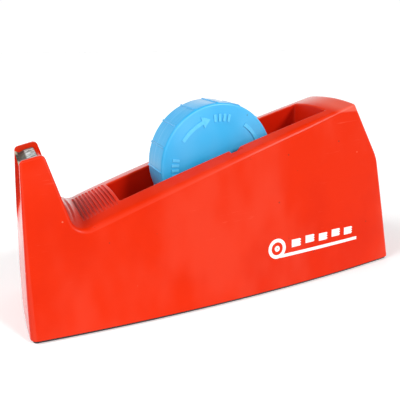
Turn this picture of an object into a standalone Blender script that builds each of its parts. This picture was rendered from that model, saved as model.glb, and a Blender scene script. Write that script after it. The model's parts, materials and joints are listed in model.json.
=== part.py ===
"""Weighted desk tape dispenser: a drafted, bowed shell with an open reel well, a serrated cutter
at the tip of its tower, and a ribbed reel whose axle drops into two slanted slots.

Frame: +X towards the tail, the cutter at -X, +Y across, +Z up. The origin is on the surface that
it stands on, under the middle of its length. Profile functions measure x from the nose's foot.
"""

import math

import bmesh
import bpy
from mathutils import Vector

MM = 0.001

# --- Shell, overall ---------------------------------------------------------------------------
BASE_LENGTH = 251.4 * MM
FOOT_HALF_WIDTH = 38.9 * MM
FOOT_BOW = 6.7 * MM
TAIL_HEIGHT = 114 * MM
TOP_BOW = 3.1 * MM
RIM_WIDTH = 8.4 * MM
TOP_CROWN = 3.0 * MM
TAIL_CROWN = 1.2 * MM
WALL = 3 * MM
FOOT_LIFT = 2 * MM
CORNER_RADIUS = 4 * MM
TOP_EDGE_RADIUS = 3 * MM

# --- Tower and nose ---------------------------------------------------------------------------
TIP_FRONT_HEIGHT = 96.4 * MM
TIP_BACK_HEIGHT = 99 * MM
TIP_BACK_X = 18.4 * MM
TIP_CORNER_RADIUS = 2.5 * MM
NOSE_LEAN = 0.045
NOSE_CURVE = 0.24
NOSE_CROWN = 1 * MM
TOWER_TAPER = 1.85
CHEEK = 2.7 * MM
CHEEK_EDGE_RADIUS = 1.1 * MM
VALLEY_X = 29.4 * MM
VALLEY_HEIGHT = 57.4 * MM
VALLEY_RADIUS = 7.5 * MM
VALLEY_DIP = 1.5 * MM
VALLEY_DIP_RUN = 6 * MM
TOP_ARCH = 1.6 * MM
RECESS_FOOT_HEIGHT = 53 * MM
RECESS_SLOPE = 0.26
BACK_CHANNEL_DEPTH = 1.6 * MM
BACK_CHANNEL_LENGTH = 13 * MM

# --- Tail -------------------------------------------------------------------------------------
TAIL_TOP_SETBACK = 39.8 * MM
TAIL_KNEE_SETBACK = 17.6 * MM
TAIL_KNEE_HEIGHT = 77 * MM
TAIL_KNEE_RADIUS = 30 * MM
TAIL_CORNER_RADIUS = 2 * MM

# --- Reel, axle and well ----------------------------------------------------------------------
REEL_RADIUS = 37.5 * MM
REEL_WIDTH = 23.6 * MM
REEL_WALL = 2 * MM
RIB_COUNT = 16
RIB_HEIGHT = 0.6 * MM
RIB_WIDTH = 1.3 * MM
RIB_PHASE = math.radians(1.5)
TAPE_BUILD = 12.9 * MM
AXLE_X = 120.1 * MM
AXLE_DROP = 6.6 * MM
AXLE_RADIUS = 2.3 * MM
AXLE_SLOT_GAP = 0.2 * MM
REEL_BORE_GAP = 0.12 * MM
COLLAR_RADIUS = 5 * MM
HUB_TUBE_RADIUS = 5.5 * MM
SIDE_CLEARANCE = 4.6 * MM
SLOT_DEPTH = 4 * MM
SLOT_ANGLE = math.radians(54)
WELL_FRONT_ROOM = 13.7 * MM
WELL_REAR_ROOM = 23.4 * MM
WELL_FLOOR_ROOM = 2 * MM
WELL_CORNER_RADIUS = 1.5 * MM

# --- Grip grooves on the ramp -----------------------------------------------------------------
GROOVE_START_X = 34.9 * MM
GROOVE_PITCH = 2.03 * MM
GROOVE_WIDTH = 1.2 * MM
GROOVE_DEPTH = 1.15 * MM

# --- Cutter -----------------------------------------------------------------------------------
BLADE_THICKNESS = 0.6 * MM
BLADE_DROP = 2.6 * MM
TOOTH_PITCH = 1.5 * MM
TOOTH_DEPTH = 1.0 * MM
BLADE_TAB = 4.5 * MM

# --- Base, ballast and fasteners --------------------------------------------------------------
FIT_GAP = 0.3 * MM
PLATE_THICKNESS = 3 * MM
PAD_INSET = 2 * MM
BALLAST_GAP = 0.5 * MM
BOSS_RADIUS = 4 * MM
BOSS_NOSE_INSET = 22 * MM
BOSS_TAIL_INSET = 25 * MM
BOSS_SIDE_INSET = 10.5 * MM
SCREW_RADIUS = 1.3 * MM
SCREW_HEAD_RADIUS = 2.9 * MM
SCREW_HEAD_HEIGHT = 1.8 * MM
SCREW_LENGTH = 11 * MM
PILOT_GAP = 0.12 * MM
ROUND_STEPS = 32
FOOT_STEP = 17 * MM
FOOT_BAND = 9 * MM

WELL_HALF_WIDTH = REEL_WIDTH / 2 + SIDE_CLEARANCE
TOP_HALF_WIDTH = WELL_HALF_WIDTH + RIM_WIDTH
ROLL_RADIUS = REEL_RADIUS + TAPE_BUILD
WELL_FRONT = AXLE_X - ROLL_RADIUS - WELL_FRONT_ROOM
WELL_REAR = AXLE_X + ROLL_RADIUS + WELL_REAR_ROOM
TAIL_TOP_X = BASE_LENGTH - TAIL_TOP_SETBACK
TAIL_KNEE_X = BASE_LENGTH - TAIL_KNEE_SETBACK
MIDDLE_X = (BASE_LENGTH + TAIL_CROWN - NOSE_CROWN) / 2


# --- Profile functions, x from the nose's foot -------------------------------------------------
def shoulder(x):
    """Height of the long sloping top edge, continued straight past its ends."""
    share = (x - VALLEY_X) / (TAIL_TOP_X - VALLEY_X)
    dip = VALLEY_DIP * math.exp(-max(0.0, x - VALLEY_X) / VALLEY_DIP_RUN)
    rise = (TAIL_HEIGHT - VALLEY_HEIGHT) * share
    return VALLEY_HEIGHT + rise + 4 * TOP_ARCH * share * (1 - share) - dip


def half_width(x, z):
    """Outside half width: bowed in plan, drafted upwards, and drawn in further up the tower."""
    along = 2 * x / BASE_LENGTH - 1
    foot = FOOT_HALF_WIDTH - FOOT_BOW * along**2
    top = TOP_HALF_WIDTH - TOP_BOW * along**2
    rise = (z - FOOT_LIFT) / (TAIL_HEIGHT - FOOT_LIFT)
    above = max(0.0, z - shoulder(x))
    return foot + (top - foot) * rise - TOWER_TAPER * above**2


def nose_x(z):
    return NOSE_LEAN * (z - FOOT_LIFT) + NOSE_CURVE * (z**2 - FOOT_LIFT**2)


def recess_x(z):
    """Front of the web between the cheeks, which leaves the nose at the recess's foot."""
    return nose_x(RECESS_FOOT_HEIGHT) + RECESS_SLOPE * (z - RECESS_FOOT_HEIGHT)


def tail_x(z):
    """Back of the tail below its knee."""
    return BASE_LENGTH - TAIL_KNEE_SETBACK * (z - FOOT_LIFT) / (TAIL_KNEE_HEIGHT - FOOT_LIFT)


def tower_back_x(z):
    share = (TIP_BACK_HEIGHT - z) / (TIP_BACK_HEIGHT - shoulder(VALLEY_X))
    return TIP_BACK_X + (VALLEY_X - TIP_BACK_X) * share


def crest(x):
    """Height of the crowned top surface on the middle plane."""
    return shoulder(x) + TOP_CROWN


AXLE_Z = shoulder(AXLE_X) - AXLE_DROP
WELL_FLOOR = AXLE_Z - ROLL_RADIUS - WELL_FLOOR_ROOM
CHEEK_GAP_HALF = half_width(TIP_BACK_X, TIP_BACK_HEIGHT) - CHEEK


# --- Mesh helpers -----------------------------------------------------------------------------
def spread(start, end, count):
    return [start + (end - start) * i / (count - 1) for i in range(count)]


def rounded(corners):
    """A polyline through (x, z, radius, steps) corners, each with its arc."""
    points = []
    for i, (x, z, radius, steps) in enumerate(corners):
        corner = Vector((x, z))
        if not radius or i in (0, len(corners) - 1):
            points.append(corner)
            continue
        back = (Vector(corners[i - 1][:2]) - corner).normalized()
        on = (Vector(corners[i + 1][:2]) - corner).normalized()
        half = back.angle(on) / 2
        centre = corner + (back + on).normalized() * radius / math.sin(half)
        first = corner + back * radius / math.tan(half) - centre
        turn = (corner + on * radius / math.tan(half) - centre).angle_signed(first)
        for share in spread(0, 1, steps):
            c, s = math.cos(turn * share), math.sin(turn * share)
            points.append(centre + Vector((c * first.x - s * first.y, s * first.x + c * first.y)))
    return points


def mesh_object(name, points, faces, material=None):
    """An object from points whose x is measured from the nose's foot."""
    mesh = bpy.data.meshes.new(name)
    mesh.from_pydata([(x - MIDDLE_X, y, z) for x, y, z in points], [], faces)
    shape = bmesh.new()
    shape.from_mesh(mesh)
    bmesh.ops.remove_doubles(shape, verts=shape.verts, dist=0.01 * MM)
    bmesh.ops.dissolve_degenerate(shape, edges=shape.edges, dist=0.001 * MM)
    loose = [edge for edge in shape.edges if not edge.link_faces]
    bmesh.ops.delete(shape, geom=loose, context="EDGES")
    bmesh.ops.recalc_face_normals(shape, faces=shape.faces)
    shape.to_mesh(mesh)
    shape.free()
    mesh.shade_smooth()
    mesh.set_sharp_from_angle(angle=math.radians(35))
    item = bpy.data.objects.new(name, mesh)
    bpy.context.scene.collection.objects.link(item)
    if material:
        mesh.materials.append(material)
    return item


def grid_faces(rows, columns, closed=False):
    last = columns if closed else columns - 1
    return [
        (i * columns + j, i * columns + (j + 1) % columns,
         (i + 1) * columns + (j + 1) % columns, (i + 1) * columns + j)
        for i in range(rows - 1)
        for j in range(last)
    ]


def prism(name, loop, low, high, axis, material=None):
    """A loop extruded from low to high along axis "y" (loop in x, z) or "z" (loop in x, y)."""
    def place(point, level):
        return (point[0], level, point[1]) if axis == "y" else (point[0], point[1], level)

    count = len(loop)
    points = [place(p, low) for p in loop] + [place(p, high) for p in loop]
    faces = [tuple(range(count)), tuple(range(2 * count - 1, count - 1, -1))]
    faces += grid_faces(2, count, closed=True)
    return mesh_object(name, points, faces, material)


def box(name, low, high, material=None):
    loop = [(low[0], low[1]), (high[0], low[1]), (high[0], high[1]), (low[0], high[1])]
    return prism(name, loop, low[2], high[2], "z", material)


def turned(name, profile, centre, axis, material, steps=ROUND_STEPS, radius_at=None):
    """A closed (radius, along) profile turned about axis "y" or "z" through centre."""
    points = []
    for i in range(steps):
        angle = 2 * math.pi * i / steps
        for radius, along in profile:
            r = radius_at(radius, angle) if radius_at else radius
            across, up = r * math.cos(angle), r * math.sin(angle)
            offset = (across, along, up) if axis == "y" else (across, up, along)
            points.append(tuple(c + o for c, o in zip(centre, offset)))
    count = len(profile)
    faces = [
        (i * count + j, i * count + (j + 1) % count,
         (i + 1) % steps * count + (j + 1) % count, (i + 1) % steps * count + j)
        for i in range(steps)
        for j in range(count)
    ]
    return mesh_object(name, points, faces, material)


def rod(name, centre, radius, low, high, axis, material=None, steps=ROUND_STEPS):
    loop = [
        (centre[0] + radius * math.cos(2 * math.pi * i / steps),
         centre[1] + radius * math.sin(2 * math.pi * i / steps))
        for i in range(steps)
    ]
    return prism(name, loop, low, high, axis, material)


def helper(item):
    item.hide_render = True
    item.display_type = "WIRE"
    return item


def boolean(item, other, operation="DIFFERENCE"):
    modifier = item.modifiers.new(other.name, "BOOLEAN")
    modifier.object = helper(other)
    modifier.operation = operation
    modifier.solver = "EXACT"


def material(name, colour, roughness, metallic=0.0):
    made = bpy.data.materials.new(name)
    made.use_nodes = True
    shader = made.node_tree.nodes["Principled BSDF"]
    shader.inputs["Base Color"].default_value = (*colour, 1)
    shader.inputs["Roughness"].default_value = roughness
    shader.inputs["Metallic"].default_value = metallic
    return made


# --- Shell ------------------------------------------------------------------------------------
def inward_of(chain, i):
    """Unit direction into the body at a station, square to the profile."""
    if i in (0, len(chain) - 1):
        return Vector((1 if i == 0 else -1, 0))
    along = (chain[i + 1] - chain[i - 1]).normalized()
    return Vector((along.y, -along.x))


def skin(name, chain, foot, inset, crowns, radii, rows, arc_steps, band_steps, shell_material=None):
    """A closed body under a profile chain. Each station runs up the near side, round its edge,
    across the crowned band and down the far side, and a flat face closes the foot. Stations share
    the evenly spaced foot points, so that the foot has no needlessly short edges."""
    inwards = [inward_of(chain, i) for i in range(len(chain))]
    sides = [here + inward * radius for here, inward, radius in zip(chain, inwards, radii)]
    most = math.floor((sides[-1].x - FOOT_STEP / 2) / FOOT_STEP) * FOOT_STEP
    snapped = [min(max(round(side.x / FOOT_STEP) * FOOT_STEP, FOOT_STEP), most) for side in sides]
    snapped[0], snapped[-1] = sides[0].x, sides[-1].x
    points, columns = [], 0
    for i, (here, inward, side, foot_x) in enumerate(zip(chain, inwards, sides, snapped)):
        radius, crown = radii[i], crowns[i]
        side_y = half_width(side.x, side.y) - inset
        reach = half_width(here.x, here.y) - inset
        low = min(foot + FOOT_BAND, side.y)
        station = [(foot_x, half_width(foot_x, foot) - inset, foot)]
        for share in spread(0, 1, rows - 1):
            x, z = foot_x + (side.x - foot_x) * share, low + (side.y - low) * share
            station.append((x, half_width(x, z) - inset, z))
        for step in range(1, arc_steps + 1):
            angle = math.pi / 2 * step / arc_steps
            y = reach - radius + (side_y - reach + radius) * math.cos(angle)
            at = side + (here - side) * math.sin(angle)
            at = at - inward * crown * max(0.0, 1 - (y / reach) ** 2)
            station.append((at.x, y, at.y))
        for y in spread(reach - radius, radius - reach, band_steps)[1:]:
            at = here - inward * crown * (1 - (y / reach) ** 2)
            station.append((at.x, y, at.y))
        station += [(x, -y, z) for x, y, z in reversed(station[: rows + arc_steps - 1])]
        columns = len(station)
        points += station
    stations = len(chain)
    near = [i * columns for i in range(stations)]
    tail = [(stations - 1) * columns + j for j in range(1, columns)]
    far = [i * columns + columns - 1 for i in range(stations - 2, -1, -1)]
    nose = list(range(columns - 2, 0, -1))
    faces = grid_faces(stations, columns) + [tuple(near + tail + far + nose)]
    return mesh_object(name, points, faces, shell_material)


def outer_chain():
    corners = [(nose_x(z), z, 0, 0) for z in spread(FOOT_LIFT, TIP_FRONT_HEIGHT - 8 * MM, 7)]
    corners += [
        (nose_x(TIP_FRONT_HEIGHT), TIP_FRONT_HEIGHT, TIP_CORNER_RADIUS, 4),
        (TIP_BACK_X, TIP_BACK_HEIGHT, TIP_CORNER_RADIUS, 4),
        (tower_back_x(VALLEY_HEIGHT + 24 * MM), VALLEY_HEIGHT + 24 * MM, 0, 0),
        (tower_back_x(VALLEY_HEIGHT + 12 * MM), VALLEY_HEIGHT + 12 * MM, 0, 0),
        (VALLEY_X, shoulder(VALLEY_X), VALLEY_RADIUS, 6),
        (VALLEY_X + 14 * MM, shoulder(VALLEY_X + 14 * MM), 0, 0),
        (VALLEY_X + 20 * MM, shoulder(VALLEY_X + 20 * MM), 0, 0),
    ]
    corners += [(x, shoulder(x), 0, 0) for x in spread(VALLEY_X + 32 * MM, TAIL_TOP_X - 8 * MM, 10)]
    corners += [
        (TAIL_TOP_X, TAIL_HEIGHT, TAIL_CORNER_RADIUS, 4),
        (TAIL_KNEE_X, TAIL_KNEE_HEIGHT, TAIL_KNEE_RADIUS, 6),
    ]
    corners += [(tail_x(z), z, 0, 0) for z in spread(TAIL_KNEE_HEIGHT * 0.6, FOOT_LIFT, 4)]
    return rounded(corners)


def edge_radius(point):
    """Round over of the outline's edge: broad at the corners, fine on the cheeks and the tail."""
    x, z = point
    if x < TIP_BACK_X and z > FOOT_LIFT:
        share = (z - FOOT_LIFT) / (TIP_FRONT_HEIGHT - FOOT_LIFT)
        return max(CHEEK_EDGE_RADIUS, CORNER_RADIUS + (CHEEK_EDGE_RADIUS - CORNER_RADIUS) * share)
    if x < VALLEY_X + 14 * MM:
        share = min(1.0, max(0.0, (x - TIP_BACK_X) / (VALLEY_X + 14 * MM - TIP_BACK_X)))
        return CHEEK_EDGE_RADIUS + (TOP_EDGE_RADIUS - CHEEK_EDGE_RADIUS) * share
    if x > TAIL_TOP_X:
        share = (TAIL_HEIGHT - z) / (TAIL_HEIGHT - FOOT_LIFT)
        return TAIL_CORNER_RADIUS * 0.75 + (CORNER_RADIUS - TAIL_CORNER_RADIUS * 0.75) * share
    tail_share = max(0.0, 1 - (TAIL_TOP_X - x) / (40 * MM))
    return TOP_EDGE_RADIUS + (TAIL_CORNER_RADIUS * 0.75 - TOP_EDGE_RADIUS) * tail_share


def crown_at(point):
    """How far the band between the two sides stands proud on the middle plane."""
    x, z = point
    if x > TAIL_TOP_X:
        return TAIL_CROWN + (TOP_CROWN - TAIL_CROWN) * (z / TAIL_HEIGHT) ** 4
    if x >= TIP_BACK_X:
        above = (z - shoulder(VALLEY_X)) / (0.25 * VALLEY_HEIGHT)
        return TOP_CROWN * min(1.0, max(0.0, 1 - above)) if x < VALLEY_X else TOP_CROWN
    return NOSE_CROWN * min(1.0, max(0.0, 2 - 2 * z / RECESS_FOOT_HEIGHT))


def make_shell_body(red):
    chain = outer_chain()
    radii = [CORNER_RADIUS if i == 0 else edge_radius(p) for i, p in enumerate(chain)]
    crowns = [crown_at(p) for p in chain]
    return skin("housing", chain, FOOT_LIFT, 0, crowns, radii, 6, 3, 9, red)


def cavity_chain():
    """The hollow inside the shell, one wall in from its profile and open at the foot."""
    below = -4 * MM
    valley = shoulder(VALLEY_X)
    tower_top = TIP_FRONT_HEIGHT - 15 * MM
    bend = RECESS_FOOT_HEIGHT - 4 * MM
    corners = [(nose_x(z) + WALL, z, 0, 0) for z in spread(below, bend, 4)]
    corners += [
        (recess_x(tower_top) + WALL, tower_top, 1 * MM, 3),
        (tower_back_x(tower_top) - WALL, tower_top, 1 * MM, 3),
        (VALLEY_X - WALL, valley - 1.3 * WALL, VALLEY_RADIUS + WALL, 5),
    ]
    tops = spread(VALLEY_X + 16 * MM, TAIL_TOP_X - 6 * MM, 7)
    corners += [(x, shoulder(x) - 1.25 * WALL, 0, 0) for x in tops]
    corners += [
        (TAIL_TOP_X - 0.8 * WALL, TAIL_HEIGHT - 1.25 * WALL, 2 * MM, 3),
        (TAIL_KNEE_X - WALL, TAIL_KNEE_HEIGHT, TAIL_KNEE_RADIUS - WALL, 4),
        (BASE_LENGTH - WALL, FOOT_LIFT, 0, 0),
        (BASE_LENGTH - WALL, below, 0, 0),
    ]
    return rounded(corners)


def boss_places():
    """Six screw bosses: a pair in the nose, a pair beside the well and a pair in the tail."""
    stations = (BOSS_NOSE_INSET, BASE_LENGTH / 2, BASE_LENGTH - BOSS_TAIL_INSET)
    return [
        (x, side * (half_width(x, FOOT_LIFT) - BOSS_SIDE_INSET)) for x in stations for side in (-1, 1)
    ]


def well_block():
    """What stays solid round the well: its walls, its floor and a boss behind each axle slot."""
    block = box(
        "well_block",
        (WELL_FRONT - WALL, -WELL_HALF_WIDTH - WALL, WELL_FLOOR - WALL),
        (WELL_REAR + WALL, WELL_HALF_WIDTH + WALL, TAIL_HEIGHT + 20 * MM),
    )
    depth = WELL_HALF_WIDTH + SLOT_DEPTH + 2 * MM
    boss = box(
        "slot_bosses",
        (AXLE_X - 9 * MM, -depth, AXLE_Z - 9 * MM),
        (AXLE_X + 16 * MM, depth, TAIL_HEIGHT + 21 * MM),
    )
    boolean(block, boss, "UNION")
    return block


def plate_top():
    return FOOT_LIFT + PLATE_THICKNESS


def make_cavity():
    chain = cavity_chain()
    radii = [CORNER_RADIUS - WALL if i in (0, 1, 2) else 1 * MM for i in range(len(chain))]
    crowns = [crown_at(p) for p in chain]
    cavity = skin("cavity", chain, -4 * MM, WALL, crowns, radii, 5, 2, 7)
    boolean(cavity, well_block())
    low = plate_top() + FIT_GAP
    for number, (x, y) in enumerate(boss_places(), 1):
        top = min(shoulder(x), VALLEY_HEIGHT) - WALL
        post = rod(f"boss_{number}", (x, y), BOSS_RADIUS, low, top + 10 * MM, "z", steps=20)
        boolean(cavity, post)
    return cavity


def well_cut():
    r = WELL_CORNER_RADIUS
    loop = []
    for cx, cy, start in (
        (WELL_REAR - r, WELL_HALF_WIDTH - r, 0),
        (WELL_FRONT + r, WELL_HALF_WIDTH - r, 1),
        (WELL_FRONT + r, r - WELL_HALF_WIDTH, 2),
        (WELL_REAR - r, r - WELL_HALF_WIDTH, 3),
    ):
        for step in range(4):
            angle = math.pi / 2 * (start + step / 3)
            loop.append((cx + r * math.cos(angle), cy + r * math.sin(angle)))
    return prism("well_cut", loop, WELL_FLOOR, TAIL_HEIGHT + 30 * MM, "z")


def slot_cut():
    """Both axle slots in one: a round seat that opens up and back to the well's edge."""
    radius = AXLE_RADIUS + AXLE_SLOT_GAP
    run = 40 * MM
    up = Vector((math.cos(SLOT_ANGLE), math.sin(SLOT_ANGLE)))
    across = Vector((-up.y, up.x)) * radius
    seat = Vector((AXLE_X, AXLE_Z))
    loop = [
        seat + across * math.cos(a) - up * radius * math.sin(a) for a in spread(0, math.pi, 13)
    ]
    loop += [seat - across + up * run, seat + across + up * run]
    depth = WELL_HALF_WIDTH + SLOT_DEPTH
    return prism("slot_cut", loop, -depth, depth, "y")


def groove_cut(number, x):
    """One groove: its floor is level across, so it runs out where the crowned ramp falls away."""
    tilt = (shoulder(x + MM) - shoulder(x - MM)) / (2 * MM)
    low, high = crest(x) - GROOVE_DEPTH, crest(x) + 5 * MM
    reach = WELL_HALF_WIDTH + 3 * MM
    loop = [
        (x, low),
        (x + GROOVE_WIDTH, low + GROOVE_WIDTH * tilt),
        (x + GROOVE_WIDTH - 5 * MM * tilt, high),
        (x - 5 * MM * tilt, high),
    ]
    return prism(f"groove_{number}", loop, -reach, reach, "y")


def seat_line():
    """Top of the web under the cutter, from front to back, as (x, z)."""
    lip, dip, fold, back = blade_line()
    drop = BLADE_THICKNESS + FIT_GAP
    return [(dip[0] + 1.2 * MM, dip[1] + 0.8 * MM - drop), (fold[0], fold[1] - drop),
            (back[0] - BLADE_THICKNESS - 2 * FIT_GAP, back[1] - drop)]


def recess_half_width(z):
    """Half the space between the cheeks, which flares with the tower below the cutter."""
    top = seat_line()[0][1]
    level = min(z, top)
    return CHEEK_GAP_HALF + half_width(nose_x(level), level) - half_width(nose_x(top), top)


def front_recess_cut():
    """The space in front of the web, from its foot on the nose up to the cutter."""
    top = seat_line()[0][1]
    levels = spread(RECESS_FOOT_HEIGHT - 0.5 * MM, top, 6) + [top + MM]
    points = []
    for z in levels:
        w, back = recess_half_width(z), recess_x(z)
        points += [(-10 * MM, -w, z), (back, -w, z), (back, w, z), (-10 * MM, w, z)]
    faces = grid_faces(len(levels), 4, closed=True) + [(0, 1, 2, 3)]
    last = 4 * (len(levels) - 1)
    faces.append((last + 3, last + 2, last + 1, last))
    return mesh_object("front_recess", points, faces)


def cutter_bay_cut():
    """Above the web: the cutter's seat, the slot for its tab and the channel behind the tip."""
    web = seat_line()
    slot_floor = web[-1][1] - BLADE_TAB - 2 * FIT_GAP
    slot_back = web[-1][0] + BLADE_THICKNESS + 3 * FIT_GAP
    rear_lip = web[-1][1] - MM
    channel_foot = TIP_BACK_HEIGHT - BACK_CHANNEL_LENGTH - BLADE_DROP
    loop = [(-10 * MM, web[0][1])] + web
    loop += [
        (web[-1][0], slot_floor),
        (slot_back, slot_floor),
        (slot_back, rear_lip),
        (tower_back_x(rear_lip) - BACK_CHANNEL_DEPTH, rear_lip),
        (tower_back_x(channel_foot), channel_foot),
        (40 * MM, channel_foot + 2 * MM),
        (40 * MM, TIP_BACK_HEIGHT + 15 * MM),
        (-10 * MM, TIP_BACK_HEIGHT + 15 * MM),
    ]
    return prism("cutter_bay", loop, -CHEEK_GAP_HALF, CHEEK_GAP_HALF, "y")


def make_housing(red):
    shell = make_shell_body(red)
    for cutter in (make_cavity(), well_cut(), slot_cut(), front_recess_cut(), cutter_bay_cut()):
        boolean(shell, cutter)
    number = 0
    while GROOVE_START_X + number * GROOVE_PITCH + GROOVE_WIDTH < WELL_FRONT - 0.5 * MM:
        boolean(shell, groove_cut(number, GROOVE_START_X + number * GROOVE_PITCH))
        number += 1
    for number, (x, y) in enumerate(boss_places(), 1):
        top = plate_top() + SCREW_LENGTH
        pilot = rod(f"pilot_{number}", (x, y), SCREW_RADIUS + PILOT_GAP, 0, top, "z", steps=16)
        boolean(shell, pilot)
    return shell


# --- Cutter -----------------------------------------------------------------------------------
def blade_line():
    """Top of the cutter's sheet: toothed lip, dip, fold and the end of the landing platform."""
    def under_cheek(x):
        share = (x - nose_x(TIP_FRONT_HEIGHT)) / (TIP_BACK_X - nose_x(TIP_FRONT_HEIGHT))
        return TIP_FRONT_HEIGHT + (TIP_BACK_HEIGHT - TIP_FRONT_HEIGHT) * share - BLADE_DROP

    lip = nose_x(TIP_FRONT_HEIGHT)
    return [
        (lip, under_cheek(lip) + 0.7 * MM),
        (lip + 2.1 * MM, under_cheek(lip) - 0.6 * MM),
        (lip + 4.7 * MM, under_cheek(lip + 4.7 * MM)),
        (TIP_BACK_X - 1.9 * MM, under_cheek(TIP_BACK_X - 1.9 * MM)),
    ]


def make_blade(steel):
    lip, dip, fold, back = blade_line()
    t = BLADE_THICKNESS
    upper = [lip, dip, fold, back, (back[0], back[1] - BLADE_TAB)]
    lower = [
        (back[0] - t, back[1] - BLADE_TAB),
        (back[0] - t, back[1] - t),
        (fold[0], fold[1] - t),
        (dip[0], dip[1] - t),
        (lip[0] - 0.2 * MM, lip[1] - 0.8 * t),
    ]
    teeth = int(2 * (CHEEK_GAP_HALF - FIT_GAP) / TOOTH_PITCH)
    half = teeth * TOOTH_PITCH / 2
    profile = upper + lower
    points = []
    stations = spread(-half, half, 2 * teeth + 1)
    for i, y in enumerate(stations):
        root = TOOTH_DEPTH if i % 2 == 0 else 0
        for j, (x, z) in enumerate(profile):
            front = j in (0, len(profile) - 1)
            points.append((x + root, y, z - 0.4 * root) if front else (x, y, z))
    count = len(profile)
    faces = grid_faces(len(stations), count, closed=True)
    last = (len(stations) - 1) * count
    faces += [tuple(range(count)), tuple(range(last + count - 1, last - 1, -1))]
    return mesh_object("cutter_blade", points, faces, steel)


# --- Reel -------------------------------------------------------------------------------------
def rib_steps():
    """Angles round the reel's rim, with four to each rib and two between ribs."""
    half = RIB_WIDTH / 2 / REEL_RADIUS
    pitch = 2 * math.pi / RIB_COUNT
    offsets = [(-1.25 * half, 0), (-0.75 * half, 1), (0.75 * half, 1), (1.25 * half, 0)]
    offsets += [(pitch / 3, 0), (2 * pitch / 3, 0)]
    return [
        (math.pi / 2 + RIB_PHASE + pitch * i + offset, high)
        for i in range(RIB_COUNT)
        for offset, high in offsets
    ]


def make_reel_drum(blue):
    """Near face, ribbed rim and hub tube in one moulding, open on its far side."""
    bore = AXLE_RADIUS + REEL_BORE_GAP
    half = REEL_WIDTH / 2
    inner = REEL_RADIUS - REEL_WALL
    profile = [
        (bore, -half, 0), (REEL_RADIUS - 1.5 * MM, -half, 0),
        (REEL_RADIUS - 0.45 * MM, 0.45 * MM - half, 0.5), (REEL_RADIUS, 1.5 * MM - half, 1),
        (REEL_RADIUS, half, 1), (inner, half, 0),
        (inner, REEL_WALL - half, 0), (HUB_TUBE_RADIUS, REEL_WALL - half, 0),
        (HUB_TUBE_RADIUS, half - 3 * MM, 0), (bore, half - 3 * MM, 0),
    ]
    points = []
    steps = rib_steps()
    for angle, high in steps:
        for radius, along, lift in profile:
            r = radius + RIB_HEIGHT * high * lift
            points.append((AXLE_X + r * math.cos(angle), along, AXLE_Z + r * math.sin(angle)))
    count, turns = len(profile), len(steps)
    faces = [
        (i * count + j, i * count + (j + 1) % count,
         (i + 1) % turns * count + (j + 1) % count, (i + 1) % turns * count + j)
        for i in range(turns)
        for j in range(count)
    ]
    return mesh_object("reel_drum", points, faces, blue)


def make_reel_cover(blue):
    """Far face: a disc with a skirt that snaps inside the rim."""
    half = REEL_WIDTH / 2
    rim = REEL_RADIUS - REEL_WALL - FIT_GAP
    profile = [
        (AXLE_RADIUS + REEL_BORE_GAP, half - 2.2 * MM), (AXLE_RADIUS + REEL_BORE_GAP, half - 0.2 * MM),
        (rim - 0.6 * MM, half - 0.2 * MM), (rim, half - 0.8 * MM), (rim, half - 7 * MM),
        (rim - 1.6 * MM, half - 7 * MM), (rim - 1.6 * MM, half - 2.2 * MM),
    ]
    return turned("reel_cover", profile, (AXLE_X, 0, AXLE_Z), "y", blue, steps=64)


def make_axle(steel):
    end = WELL_HALF_WIDTH + SLOT_DEPTH - FIT_GAP
    chamfer = 0.5 * MM
    centre = (AXLE_X, 0, AXLE_Z)
    radii = [
        (AXLE_RADIUS - chamfer, -end), (AXLE_RADIUS, chamfer - end),
        (AXLE_RADIUS, end - chamfer), (AXLE_RADIUS - chamfer, end),
    ]
    points = []
    for along, radius in ((a, r) for r, a in radii):
        for i in range(ROUND_STEPS):
            angle = 2 * math.pi * i / ROUND_STEPS
            x, z = radius * math.cos(angle), radius * math.sin(angle)
            points.append((centre[0] + x, along, centre[2] + z))
    faces = grid_faces(4, ROUND_STEPS, closed=True)
    last = 3 * ROUND_STEPS
    faces += [tuple(range(ROUND_STEPS)), tuple(range(last + ROUND_STEPS - 1, last - 1, -1))]
    return mesh_object("axle", points, faces, steel)


def make_collar(name, side, nylon):
    """Spacer on the axle that keeps the reel in the middle of the well."""
    near, far = REEL_WIDTH / 2 + FIT_GAP, WELL_HALF_WIDTH - 2 * FIT_GAP
    bore = AXLE_RADIUS + REEL_BORE_GAP
    profile = [
        (bore, side * near), (COLLAR_RADIUS, side * near), (COLLAR_RADIUS, side * (far - 0.5 * MM)),
        (COLLAR_RADIUS - 0.5 * MM, side * far), (bore, side * far),
    ]
    return turned(name, profile, (AXLE_X, 0, AXLE_Z), "y", nylon)


# --- Base -------------------------------------------------------------------------------------
def foot_loop(inset, z):
    """Plan outline of the shell at height z, moved in by inset, as (x, y)."""
    radius = max(CORNER_RADIUS - inset, 1 * MM)
    low, high = nose_x(z) + inset, tail_x(z) - inset
    near = [(x, inset - half_width(x, z)) for x in spread(low + radius, high - radius, 15)]
    corner = []
    for step in range(1, 4):
        angle = math.pi / 2 * step / 4
        corner.append((math.sin(angle), 1 - math.cos(angle)))
    tail = [(near[-1][0] + radius * a, near[-1][1] + radius * b) for a, b in corner]
    nose = [(near[0][0] - radius * a, near[0][1] + radius * b) for a, b in corner]
    half = near + tail + [(high, near[-1][1] + radius)]
    other = [(x, -y) for x, y in reversed(half)] + [(x, -y) for x, y in nose]
    return half + other + [(low, -near[0][1] - radius), (low, near[0][1] + radius)] + nose[::-1]


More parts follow.
